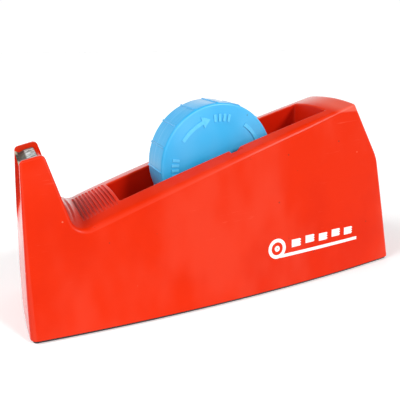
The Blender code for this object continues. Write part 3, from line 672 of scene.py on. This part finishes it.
def make_grooves(tree):
    count = 0
    while GROOVE_START_X + count * GROOVE_PITCH + GROOVE_WIDTH < WELL_FRONT - 0.5 * MM:
        count += 1
    ends = [GROOVE_START_X + GROOVE_WIDTH / 2 + k * (count - 1) * GROOVE_PITCH for k in (0, 1)]
    path = [(x - MIDDLE_X, 0, top_height(x, 0) - GROOVE_DEPTH) for x in spread(*ends, 60)]
    return copies("grooves", tree, path, groove_tool(), count)


def make_shell(tree, finish):
    chain = outer_chain()
    radii = [CORNER_RADIUS if i == 0 else edge_radius(p) for i, p in enumerate(chain)]
    shell = skin("shell", chain, FOOT_LIFT, 0, [crown_at(p) for p in chain], radii, 18, 8, 44)
    for tool in (make_cavity(), well_cut(), slot_cut(), front_recess_cut(), cutter_bay_cut(),
                 make_grooves(tree)):
        boolean(shell, tool)
    shell = smoothed(baked(shell))
    shell.data.materials.clear()
    shell.data.materials.append(finish)
    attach(shell, "shell")
    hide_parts("housing")
    return shell


# --- Flat marks ---
def band(name, shapes, place, low, high):
    """Raised flat shapes. Each is (one edge, other edge, closed), with the edges in flat (u, v),
    and place(u, v, height) puts a point on the surface that carries them."""
    points, faces = [], []
    for one, other, closed in shapes:
        start, count = len(points), len(one)
        for a, b in zip(one, other):
            points += [place(*a, low), place(*a, high), place(*b, high), place(*b, low)]
        for quad in grid_faces(count, 4, closed=True):
            faces.append(tuple(start + i for i in quad))
        last = start + 4 * (count - 1)
        if closed:
            faces += [(start + (j + 1) % 4, start + j, last + j, last + (j + 1) % 4) for j in range(4)]
        else:
            faces += [tuple(start + j for j in range(4)), tuple(last + j for j in (3, 2, 1, 0))]
    return framed(name, points, faces)


def ring_shape(u, v, inner, outer, count=64):
    turns = [math.tau * i / count for i in range(count)]
    return ([(u + inner * math.cos(t), v + inner * math.sin(t)) for t in turns],
            [(u + outer * math.cos(t), v + outer * math.sin(t)) for t in turns], True)


def bar_shape(u0, u1, v0, v1, teeth=0, count=24):
    """A bar along u whose far end is cut in teeth."""
    if not teeth:
        us = spread(u0, u1, count)
        return ([(u, v0) for u in us], [(u, v1) for u in us], False)
    vs = spread(v0, v1, 2 * teeth + 1)
    bite = (v1 - v0) / teeth * 0.6
    return ([(u0, v) for v in vs], [(u1 - bite * (i % 2 == 0), v) for i, v in enumerate(vs)], False)


def make_side_print(finish):
    """A roll, the strip that leaves it and five cut pieces, printed on the near side."""
    def place(u, v, height):
        return (u - MIDDLE_X, -half_width(u, v) - height, v)

    shapes = [ring_shape(149.8 * MM, 28.6 * MM, 4.2 * MM, 6.5 * MM),
              ring_shape(149.8 * MM, 28.6 * MM, 0.4 * MM, 1.9 * MM)]
    for u in spread(152 * MM, 212 * MM, 6)[:-1]:
        shapes.append(bar_shape(u, u + 12.05 * MM, 22.1 * MM, 24.2 * MM))
    shapes.append(bar_shape(212 * MM, 217 * MM, 22.1 * MM, 24.2 * MM, teeth=2))
    for number, u in enumerate(spread(161 * MM, 205 * MM, 5)):
        rise = 0.7 * MM * (number % 2)
        shapes.append(bar_shape(u, u + 7.4 * MM, 27.4 * MM + rise, 32.4 * MM + rise, teeth=3))
    ink = band("side_print", shapes, place, -0.02 * MM, 0.06 * MM)
    ink.data.materials.append(finish)
    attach(ink, "shell")
    return ink


# --- Pad ---
def foot_loop(inset):
    """Plan outline of the shell's foot, moved in by inset."""
    radius = CORNER_RADIUS - inset
    low, high = nose_x(FOOT_LIFT) + inset, tail_x(FOOT_LIFT) - inset
    side = [(x, inset - half_width(x, FOOT_LIFT)) for x in spread(low + radius, high - radius, 60)]
    turns = [math.pi / 2 * k / 8 for k in range(1, 9)]
    corner = [(radius * math.sin(a), radius * (1 - math.cos(a))) for a in turns]
    nose = [(side[0][0] - a, side[0][1] + b) for a, b in reversed(corner)]
    half = nose + side + [(side[-1][0] + a, side[-1][1] + b) for a, b in corner]
    return half + [(x, -y) for x, y in reversed(half)]


def make_pad(finish):
    """The foam sheet under the shell, with its cut edges eased."""
    levels = ((1.5, 0), (1.0, 0.35), (0.9, 0.9), (1.0, 1.4), (1.3, 1.7))
    loops = [[(x, y, z * MM) for x, y in foot_loop(inset * MM)] for inset, z in levels]
    pad = loft("pad", loops)
    pad.data.materials.append(finish)
    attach(pad, "shell")
    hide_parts("non_slip_pad")


# --- Cutter ---
def make_blade(finish):
    lip, dip, fold, back = blade_line()
    t = BLADE_THICKNESS
    upper = rounded([
        (*lip, 0, 0), (*dip, 1.6 * MM, 6), (*fold, 1.2 * MM, 6), (*back, 0.9 * MM, 7),
        (back[0], back[1] - BLADE_TAB, 0, 0),
    ])
    sheet = []
    for i, here in enumerate(upper):
        before, after = upper[max(i - 1, 0)], upper[min(i + 1, len(upper) - 1)]
        along = (after - before).normalized()
        sheet.append(here + Vector((along.y, -along.x)) * t)
    profile = upper + sheet[::-1]
    teeth = int(2 * (CHEEK_GAP_HALF - FIT_GAP) / TOOTH_PITCH)
    half = teeth * TOOTH_PITCH / 2
    stations = spread(-half, half, 4 * teeth + 1)
    points = []
    for i, y in enumerate(stations):
        root = TOOTH_DEPTH * abs(2 - i % 4) / 2
        for j, (x, z) in enumerate(profile):
            front = j in (0, len(profile) - 1)
            points.append((x + root, y, z - 0.55 * root) if front else (x, y, z))
    blade = mesh_object("cutter", points, tube_faces(len(stations), len(profile)))
    blade.data.materials.append(finish)
    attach(blade, "shell")
    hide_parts("cutter_blade")
    return blade


# --- Reel ---
def turned(name, profile, steps=192):
    """A closed (radius, across) profile turned about the axle."""
    points = []
    for i in range(steps):
        angle = math.tau * i / steps
        for radius, across in profile:
            points.append((AXLE.x + radius * math.cos(angle), across,
                           AXLE.z + radius * math.sin(angle)))
    return framed(name, points, grid_faces(steps, len(profile), closed=True, ring=True))


def rib_tool():
    """One grip rib: a rounded ridge across the rim that fades at the near edge."""
    half, width = REEL_HALF, RIB_WIDTH / 2
    section = [(-1.3, -0.6), (-1.0, 0.25), (-0.6, 0.85), (0, 1.0), (0.6, 0.85), (1.0, 0.25),
               (1.3, -0.6)]
    runs = [(-half + 0.35 * MM, -1.35), (-half + 0.6 * MM, -0.35), (-half + 1.2 * MM, 0.5),
            (-half + 2 * MM, 0.9), (-half + 3 * MM, 1.0), (half - 0.3 * MM, 1.0),
            (half - 0.05 * MM, 0.7)]
    points = []
    for across, lift in runs:
        for u, h in section:
            sunk = -1.2 if h < 0 else h * RIB_HEIGHT / MM - (1 - lift) * RIB_HEIGHT / MM
            points.append((u * width, across, max(sunk, -1.5) * MM))
    return framed("rib_tool", points, tube_faces(len(runs), len(section)))


def reel_marks(name, tree, side, finish):
    """Four raised winding arrows on a face of the reel: a curved bar, its head and four ticks."""
    def place(turn, v, height):
        radius = MARK_RADIUS + v
        return (radius * math.sin(turn), side * height, radius * math.cos(turn) - MARK_RADIUS)

    def arc(a0, a1, v0, v1, count=14):
        us = [math.radians(a) for a in spread(a0, a1, count)]
        return ([(u, v0) for u in us], [(u, v1) for u in us], False)

    bar = [(math.radians(a), 1.1 * MM) for a in spread(-33, -1, 16)]
    head = [(math.radians(a), 0.34 * MM * (9.4 - a)) for a in spread(-0.99, 9, 8)]
    shapes = [([(u, -w) for u, w in bar + head], [(u, w) for u, w in bar + head], False)]
    shapes += [arc(a, a + 3, -2.2 * MM, 2.2 * MM, 4) for a in (14, 20, 26, 32)]
    tool = band(name + "_tool", shapes, place, -0.3 * MM, MARK_HEIGHT)
    path = around_axle(MARK_RADIUS, side * REEL_HALF, math.radians(112))
    marks = copies(name, tree, path, tool, 4, finish, closed=True)
    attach(marks, "reel")


def make_reel(tree, finish, highlit_mark_blue):
    half, bore, edge = REEL_HALF, AXLE_RADIUS + BORE_GAP, RIM_EDGE_RADIUS
    inner, tube = REEL_RADIUS - REEL_WALL, HUB_TUBE_RADIUS
    rim = [(REEL_RADIUS - edge + edge * math.sin(a), -half + edge - edge * math.cos(a))
           for a in spread(0, math.pi / 2, 9)]
    profile = [(bore, 0.3 * MM - half), (bore + 0.3 * MM, -half), (8 * MM, -half), (20 * MM, -half),
               (33 * MM, -half)]
    profile += rim
    profile += [(REEL_RADIUS, z) for z in (-4 * MM, 0.0, 4 * MM)]
    profile += [(REEL_RADIUS, half - 0.4 * MM), (REEL_RADIUS - 0.4 * MM, half), (inner, half),
                (inner, REEL_WALL - half), (tube, REEL_WALL - half), (tube, half - 3 * MM),
                (bore, half - 3 * MM)]
    drum = turned("reel", profile)
    ribs = copies("ribs", tree, around_axle(REEL_RADIUS, 0, RIB_PHASE), rib_tool(), RIB_COUNT,
                  closed=True)
    boolean(drum, ribs, "UNION")
    reel_marks("near_marks", tree, -1, highlit_mark_blue)
    drum = smoothed(baked(drum), 35)
    drum.data.materials.clear()
    drum.data.materials.append(finish)
    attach(drum, "reel")
    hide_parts("reel_drum")

    fit = inner - FIT_GAP
    face = half - 0.2 * MM
    disc = [(bore, half - 2.2 * MM), (bore, face - 0.3 * MM), (bore + 0.3 * MM, face), (20 * MM, face),
            (fit - 0.6 * MM, face), (fit - 0.15 * MM, face - 0.2 * MM), (fit, face - 0.6 * MM),
            (fit, half - 7 * MM), (fit - 1.6 * MM, half - 7 * MM), (fit - 1.6 * MM, half - 2.2 * MM)]
    cover = turned("reel_back", disc)
    reel_marks("far_marks", tree, 1, highlit_mark_blue)
    cover.data.materials.clear()
    cover.data.materials.append(finish)
    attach(cover, "reel")
    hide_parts("reel_cover")


# --- Shader helpers ---
def add(tree, kind, settings=None, inputs=None):
    """A node with its settings, and its inputs by name or number set to a value or a socket."""
    made = tree.nodes.new(kind)
    for key, value in (settings or {}).items():
        setattr(made, key, value)
    for key, value in (inputs or {}).items():
        if isinstance(value, bpy.types.NodeSocket):
            tree.links.new(value, made.inputs[key])
        else:
            made.inputs[key].default_value = value
    return made


def calc(tree, kind, a, b=0.0, c=0.0, clamp=False):
    """One Math node on up to three values or sockets."""
    settings = {"operation": kind, "use_clamp": clamp}
    return add(tree, "ShaderNodeMath", settings, {0: a, 1: b, 2: c}).outputs[0]


def times(tree, product, *values):
    for value in values:
        product = calc(tree, "MULTIPLY", product, value)
    return product


def ramped(tree, value, low, high, to_low=0.0, to_high=1.0):
    inputs = {"Value": value, "From Min": low, "From Max": high, "To Min": to_low, "To Max": to_high}
    return add(tree, "ShaderNodeMapRange", {"interpolation_type": "SMOOTHSTEP"}, inputs).outputs[0]


def noise(tree, vector, scale, detail=2.0, rough=0.5, distortion=0.0):
    inputs = {"Vector": vector, "Scale": scale, "Detail": detail, "Roughness": rough,
              "Distortion": distortion}
    return add(tree, "ShaderNodeTexNoise", None, inputs).outputs["Fac"]


def mapped(tree, vector, scale, turn=(0, 0, 0), move=(0, 0, 0)):
    inputs = {"Vector": vector, "Scale": scale, "Rotation": turn, "Location": move}
    return add(tree, "ShaderNodeMapping", None, inputs).outputs["Vector"]


def split(tree, vector):
    return add(tree, "ShaderNodeSeparateXYZ", None, {"Vector": vector}).outputs


def mixed(tree, share, a, b):
    return add(tree, "ShaderNodeMix", {"data_type": "RGBA"}, {0: share, 6: a, 7: b}).outputs[2]


def group(name, inputs, outputs):
    tree = bpy.data.node_groups.new(name, "ShaderNodeTree")
    for label, kind, value in inputs:
        socket = tree.interface.new_socket(name=label, in_out="INPUT", socket_type=kind)
        if value is not None:
            socket.default_value = value
    for label in outputs:
        tree.interface.new_socket(name=label, in_out="OUTPUT", socket_type="NodeSocketFloat")
    return tree, tree.nodes.new("NodeGroupInput").outputs, tree.nodes.new("NodeGroupOutput").inputs


def wear_and_edge_highlight_group():
    """Smudges, haze, a mask of the rounded edges (a painted highlight in the colour, extra gloss in the
    coat), fine scratches, specks, chips and a moulded grain, from 0 to 1.
    """
    tree, ins, outs = group(
        "handling marks and edge highlight",
        [("Vector", "NodeSocketVector", None), ("Normal", "NodeSocketVector", None),
         ("Smudge Size", "NodeSocketFloat", 16.0),
         ("Scratch Length", "NodeSocketFloat", 45.0), ("Speck Size", "NodeSocketFloat", 0.08)],
        ["Smudge", "Haze", "Edge", "Scratch", "Speck", "Chip", "Grain"],
    )
    vector = ins["Vector"]
    broad = noise(tree, mapped(tree, vector, (1.3, 1, 0.6), (0, 0.5, 0), (0.4, 0, 0.2)), 15.0, 3.0, 0.6)
    level = calc(tree, "ABSOLUTE", split(tree, ins["Normal"])["Y"])
    lines = []
    for turn, seed, strength in (((0, 0.9, 0), 3.0, 1.0), ((0, -0.6, 0.1), 11.0, 0.8)):
        moved = mapped(tree, vector, (1, 1, 14), turn, (seed, seed, seed))
        fine = noise(tree, moved, ins["Scratch Length"], 2.0, 0.55, 1.2)
        apart = mapped(tree, vector, (1, 1, 1), (0, 0, 0), (seed, 0, 0))
        lines.append(times(tree, ramped(tree, fine, 0.66, 0.74, 0.0, strength),
                           ramped(tree, noise(tree, apart, 22.0), 0.52, 0.66)))
    cells = add(tree, "ShaderNodeTexVoronoi", None, {"Vector": vector, "Scale": 150.0, "Randomness": 1.0})
    near = calc(tree, "LESS_THAN", cells.outputs["Distance"], ins["Speck Size"])
    pick = add(tree, "ShaderNodeSeparateColor", None, {"Color": cells.outputs["Color"]}).outputs
    results = {
        "Smudge": ramped(tree, noise(tree, vector, ins["Smudge Size"], 4.0, 0.6), 0.42, 0.7),
        "Haze": ramped(tree, broad, 0.45, 0.68),
        "Edge": times(tree, ramped(tree, level, 0.55, 0.82), ramped(tree, level, 0.93, 0.985, 1.0, 0.0)),
        "Scratch": calc(tree, "MAXIMUM", *lines),
        "Speck": times(tree, near, calc(tree, "GREATER_THAN", pick[0], 0.90)),
        "Chip": times(tree, near, calc(tree, "GREATER_THAN", pick[1], 0.90)),
        "Grain": noise(tree, vector, 1800.0, 2.0, 0.6),
    }
    for label, value in results.items():
        tree.links.new(value, outs[label])
    return tree


def start_material(name, roughness, metallic=0.0, specular=0.5):
    made = bpy.data.materials.new(name)
    made.use_nodes = True
    tree = made.node_tree
    shader = tree.nodes["Principled BSDF"]
    for label, value in (("Roughness", roughness), ("Metallic", metallic),
                         ("Specular IOR Level", specular)):
        shader.inputs[label].default_value = value
    place = add(tree, "ShaderNodeTexCoord").outputs["Object"]
    return made, tree, shader, place


def bumped(tree, shader, height, strength, distance=0.1 * MM):
    made = add(tree, "ShaderNodeBump", None,
               {"Height": height, "Strength": strength, "Distance": distance})
    tree.links.new(made.outputs["Normal"], shader.inputs["Normal"])


# --- Finishes ---
def moulded_plastic(name, wear_and_edge_marks, main, deep, pale, dirt, roughness, gloss, smudge=16.0):
    """Moulded plastic with handling marks and a painted highlight along its rounded edges, matt head on
    and shiny where it turns away.
    """
    made, tree, shader, place = start_material(name, roughness, specular=gloss)
    normal = add(tree, "ShaderNodeTexCoord").outputs["Normal"]
    marks = add(tree, "ShaderNodeGroup", {"node_tree": wear_and_edge_marks},
                {"Vector": place, "Normal": normal, "Smudge Size": smudge}).outputs
    colour = mixed(tree, times(tree, marks["Smudge"], 0.6), main, deep)
    # The Edge share lightens the rounded edges: a painted highlight.
    for label, share, tint in (("Haze", 0.09, pale), ("Edge", 0.06, pale), ("Scratch", 0.22, pale),
                               ("Speck", 0.7, dirt), ("Chip", 0.6, pale)):
        colour = mixed(tree, times(tree, marks[label], share), colour, tint)
    tree.links.new(colour, shader.inputs["Base Color"])
    rough = calc(tree, "MULTIPLY_ADD", marks["Smudge"], 0.12, roughness)
    rough = calc(tree, "ADD", rough, times(tree, marks["Scratch"], 0.2), clamp=True)
    tree.links.new(rough, shader.inputs["Roughness"])
    facing = add(tree, "ShaderNodeLayerWeight", None, {"Blend": 0.5}).outputs["Facing"]
    shine = calc(tree, "ADD", ramped(tree, facing, 0.645, 0.87), times(tree, marks["Edge"], 0.05),
                 clamp=True)
    tree.links.new(shine, shader.inputs["Coat Weight"])
    shader.inputs["Coat Roughness"].default_value = 0.25
    shader.inputs["Coat IOR"].default_value = 1.8
    bumped(tree, shader, calc(tree, "SUBTRACT", times(tree, marks["Grain"], 0.5), marks["Scratch"]),
           0.12, 0.08 * MM)
    return made, tree, shader, place, colour


def hollow_masks(tree, place):
    """Masks on the shell: all that lies under the top's own line, the grooves, the ramp that
    they cross and the top of the tail."""
    start, middle = GROOVE_START_X - MIDDLE_X, AXLE.x
    front, rear = WELL_FRONT - MIDDLE_X, WELL_REAR - MIDDLE_X
    # The top's middle line as base + slope * x + bend * x**2, through three of its heights.
    h0, h1, h2 = (top_height(x + MIDDLE_X, 0) for x in (start, middle, rear))
    first = (h1 - h0) / (middle - start)
    bend = ((h2 - h0) / (rear - start) - first) / (rear - middle)
    slope = first - bend * (start + middle)
    base = h0 - slope * start - bend * start**2
    x, y, z = split(tree, place)
    line = calc(tree, "MULTIPLY_ADD", calc(tree, "MULTIPLY_ADD", x, bend, slope), x, base)
    bow = times(tree, y, y, TOP_CROWN / TOP_HALF_WIDTH**2)
    depth = calc(tree, "SUBTRACT", calc(tree, "SUBTRACT", line, bow), z)
    zone = ramped(tree, calc(tree, "ABSOLUTE", y), WELL_HALF_WIDTH + 0.2 * MM,
                  WELL_HALF_WIDTH + 1.2 * MM, 1.0, 0.0)
    zone = times(tree, zone, ramped(tree, x, start - 1.5 * MM, start - 0.5 * MM),
                 ramped(tree, x, rear + 0.3 * MM, rear + 0.8 * MM, 1.0, 0.0))
    inside = times(tree, zone, ramped(tree, depth, 0.25 * MM, 0.8 * MM))
    before_well = ramped(tree, x, front - 0.6 * MM, front - 0.3 * MM, 1.0, 0.0)
    tail = times(tree, ramped(tree, x, rear, rear + 9 * MM), ramped(tree, z, h2 - 2.5 * MM, h2 - MM))
    return inside, times(tree, inside, before_well), times(tree, zone, before_well), tail


def shell_plastic(wear_and_edge_marks):
    """The red plastic, with less shine down in the well, painted shade that darkens the well and more
    deeply the grooves, and a painted pale sheen on the top of the tail.
    """
    made, tree, shader, place, colour = moulded_plastic(
        "red shell plastic", wear_and_edge_marks, (0.66, 0.022, 0.0015, 1), (0.59, 0.016, 0.001, 1),
        (0.85, 0.20, 0.13, 1), (0.20, 0.03, 0.02, 1), 0.29, 0.06,
    )
    inside, grooved, ramp, tail = hollow_masks(tree, place)
    # Painted light: the tail's top paled as a painted sheen, the well darkened as painted shade, and the
    # grooves darkened further as painted shade.
    for mask, share, tint in ((tail, 0.25, (0.90, 0.33, 0.24, 1)), (inside, 0.8, (0.58, 0.008, 0.001, 1)),
                              (grooved, 0.75, (0.46, 0.007, 0.001, 1))):
        colour = mixed(tree, times(tree, mask, share), colour, tint)
    tree.links.new(colour, shader.inputs["Base Color"])
    open_share = calc(tree, "SUBTRACT", 1.0, times(tree, inside, 0.85))
    open_share = calc(tree, "SUBTRACT", open_share, times(tree, ramp, 0.4), clamp=True)
    shine = shader.inputs["Coat Weight"].links[0].from_socket
    tree.links.new(times(tree, shine, open_share), shader.inputs["Coat Weight"])
    return made


def reel_plastic(wear_and_edge_marks):
    """The blue plastic, with pale streaks that run round the rim."""
    made, tree, shader, place, colour = moulded_plastic(
        "blue reel plastic", wear_and_edge_marks, (0.020, 0.385, 0.74, 1), (0.015, 0.34, 0.69, 1),
        (0.35, 0.68, 0.95, 1), (0.03, 0.15, 0.3, 1), 0.30, 0.28, 30.0,
    )
    streaks = noise(tree, mapped(tree, place, (8, 900, 8)), 1.0, 3.0, 0.6)
    pale = ramped(tree, streaks, 0.45, 0.75, 0.0, 0.4)
    tree.links.new(mixed(tree, pale, colour, (0.25, 0.62, 0.92, 1)), shader.inputs["Base Color"])
    return made


def worn_shaded_steel():
    """Stamped cutter sheet: bare and scuffed on its platform, whose pale scuffs are partly a painted
    reflection, dull and stained at its teeth, and darker along its sides and at the back as painted
    shade.
    """
    made, tree, shader, place = start_material("worn cutter steel with painted shade", 0.5, 0.3, 0.1)
    along, across, _ = split(tree, place)
    fold = blade_line()[2][0] - MIDDLE_X
    front = ramped(tree, along, fold - 0.6 * MM, fold + 0.6 * MM, 1.0, 0.0)
    patches = noise(tree, mapped(tree, place, (260, 420, 260), (0, 0, 0.6)), 1.0, 4.0, 0.7)
    scuff = ramped(tree, patches, 0.38, 0.55)
    stain = ramped(tree, noise(tree, place, 260.0, 4.0, 0.7), 0.42, 0.62)
    side = calc(tree, "ABSOLUTE", across)
    # Darker along the sides under the cheeks and before the back wall: painted shade.
    shade_border = calc(tree, "MAXIMUM", ramped(tree, side, 12.5 * MM, 15.8 * MM),
                  ramped(tree, along, fold + 4.2 * MM, fold + 5.6 * MM))
    # The pale scuffs are scuffed steel and partly a painted reflection.
    bright = mixed(tree, scuff, (0.11, 0.125, 0.11, 1), (0.70, 0.74, 0.73, 1))
    dull = mixed(tree, stain, (0.06, 0.068, 0.045, 1), (0.015, 0.018, 0.012, 1))
    cover = calc(tree, "MAXIMUM", times(tree, front, 0.95), times(tree, stain, 0.30))
    colour = mixed(tree, calc(tree, "MAXIMUM", cover, times(tree, shade_border, 0.9)), bright, dull)
    residue = times(tree, ramped(tree, along, fold - 4.4 * MM, fold - 3.2 * MM, 1.0, 0.0),
                    ramped(tree, side, 6 * MM, 10 * MM), 0.7)
    tree.links.new(mixed(tree, residue, colour, (0.55, 0.50, 0.36, 1)), shader.inputs["Base Color"])
    tree.links.new(ramped(tree, scuff, 0.0, 1.0, 0.6, 0.42), shader.inputs["Roughness"])
    bumped(tree, shader, scuff, 0.3, 0.05 * MM)
    return made


def plain_finish(name, dark, light, roughness, metallic=0.0, scale=400.0, strength=0.2):
    """A finish with fine two-tone variation, for the plain pieces."""
    made, tree, shader, place = start_material(name, roughness, metallic)
    fleck = noise(tree, place, scale, 3.0, 0.6)
    tree.links.new(mixed(tree, fleck, dark, light), shader.inputs["Base Color"])
    tree.links.new(ramped(tree, fleck, 0.2, 0.8, roughness - 0.07, roughness + 0.07),
                   shader.inputs["Roughness"])
    bumped(tree, shader, fleck, strength)
    return made


# --- Build ---
def dress_frame_nodes():
    """Gives every CAD node that still shows its finish."""
    zinc = plain_finish("zinc plate", (0.50, 0.50, 0.47, 1), (0.72, 0.72, 0.69, 1), 0.34, 1.0, 900.0)
    nylon = plain_finish("white nylon", (0.72, 0.72, 0.68, 1), (0.84, 0.84, 0.80, 1), 0.45)
    black = plain_finish("black plate plastic", (0.014, 0.014, 0.014, 1), (0.03, 0.03, 0.03, 1), 0.5)
    foam = plain_finish("foam rubber", (0.008, 0.008, 0.008, 1), (0.03, 0.03, 0.03, 1), 0.88,
                        scale=1500.0, strength=0.8)
    iron = plain_finish("cast ballast", (0.07, 0.07, 0.07, 1), (0.16, 0.16, 0.155, 1), 0.7, 0.7,
                        scale=700.0, strength=0.7)
    make_pad(foam)
    finishes = {"axle": zinc, "axle_collar_near": nylon, "axle_collar_far": nylon,
                "base_plate": black, "floor_ballast": iron, "tail_ballast": iron}
    finishes.update({f"base_screw_{n}": zinc for n in range(1, 7)})
    for name, finish in finishes.items():
        node = frame["nodes"][name]
        node.data.materials.clear()
        node.data.materials.append(finish)


def make_stage():
    """A pale floor, a white surround, soft lights and the camera."""
    floor = framed("floor", [(-6, -6, 0), (6, -6, 0), (6, 6, 0), (-6, 6, 0)], [(0, 1, 2, 3)])
    white, tree, shader, place = start_material("pale floor", 0.6, 0.0, 0.3)
    shade = ramped(tree, noise(tree, place, 3.0), 0.0, 1.0, 0.92, 0.94)
    tone = add(tree, "ShaderNodeCombineColor", None, {0: shade, 1: shade, 2: shade}).outputs[0]
    tree.links.new(tone, shader.inputs["Base Color"])
    shader.inputs["Emission Color"].default_value = (1, 1, 1, 1)
    away = add(tree, "ShaderNodeVectorMath", {"operation": "LENGTH"}, {0: place}).outputs["Value"]
    tree.links.new(ramped(tree, away, 0.15, 0.5, 0.17, 0.34), shader.inputs["Emission Strength"])
    floor.data.materials.append(white)
    world = bpy.data.worlds.new("surround")
    bpy.context.scene.world = world
    world.use_nodes = True
    sky = world.node_tree
    aim = add(sky, "ShaderNodeTexCoord").outputs["Generated"]
    strength = ramped(sky, split(sky, aim)["Z"], 0.28, 0.68, 1.02, 0.19)
    sky.links.new(strength, sky.nodes["Background"].inputs["Strength"])
    sky.nodes["Background"].inputs["Color"].default_value = (1, 1, 1, 1)
    for name, kind, place, size, power in (
        ("front_light", "SUN", (0.62, -1.0, 0.78), math.radians(14), 1.9),
        ("edge_light", "AREA", (-0.60, -0.05, 0.80), 0.3, 5.0),
    ):
        light = bpy.data.lights.new(name, kind)
        light.energy = power
        if kind == "SUN":
            light.angle = size
        else:
            light.size = size
        lamp = bpy.data.objects.new(name, light)
        lamp.location = place
        lamp.rotation_euler = (-Vector(place)).to_track_quat("-Z", "Y").to_euler()
        bpy.context.scene.collection.objects.link(lamp)
    camera = bpy.data.cameras.new("camera")
    eye = bpy.data.objects.new("camera", camera)
    level = math.cos(CAMERA_PITCH)
    ahead = Vector((math.sin(CAMERA_YAW) * level, math.cos(CAMERA_YAW) * level, -math.sin(CAMERA_PITCH)))
    place = Matrix.Translation(Vector(CAMERA_PLACE) - Vector((MIDDLE_X, 0, 0)))
    eye.matrix_world = place @ ahead.to_track_quat("-Z", "Y").to_matrix().to_4x4()
    camera.sensor_width, camera.lens, camera.clip_start = 36, CAMERA_LENS, 0.01
    bpy.context.scene.collection.objects.link(eye)
    bpy.context.scene.camera = eye
    bpy.context.scene.view_settings.view_transform = "Standard"


def main():
    wear_and_edge_marks = wear_and_edge_highlight_group()
    red = shell_plastic(wear_and_edge_marks)
    blue = reel_plastic(wear_and_edge_marks)
    # The raised marks are a lighter blue than the reel: a painted highlight on their relief.
    highlit_mark_blue = plain_finish("lighter blue marks with painted highlight", (0.045, 0.44, 0.80, 1), (0.14, 0.60, 0.93, 1), 0.34)
    ink = plain_finish("white print", (0.80, 0.78, 0.76, 1), (0.90, 0.89, 0.88, 1), 0.5)
    tree = copies_tree()
    make_shell(tree, red)
    make_side_print(ink)
    make_blade(worn_shaded_steel())
    make_reel(tree, blue, highlit_mark_blue)
    dress_frame_nodes()
    make_stage()
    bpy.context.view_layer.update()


main()
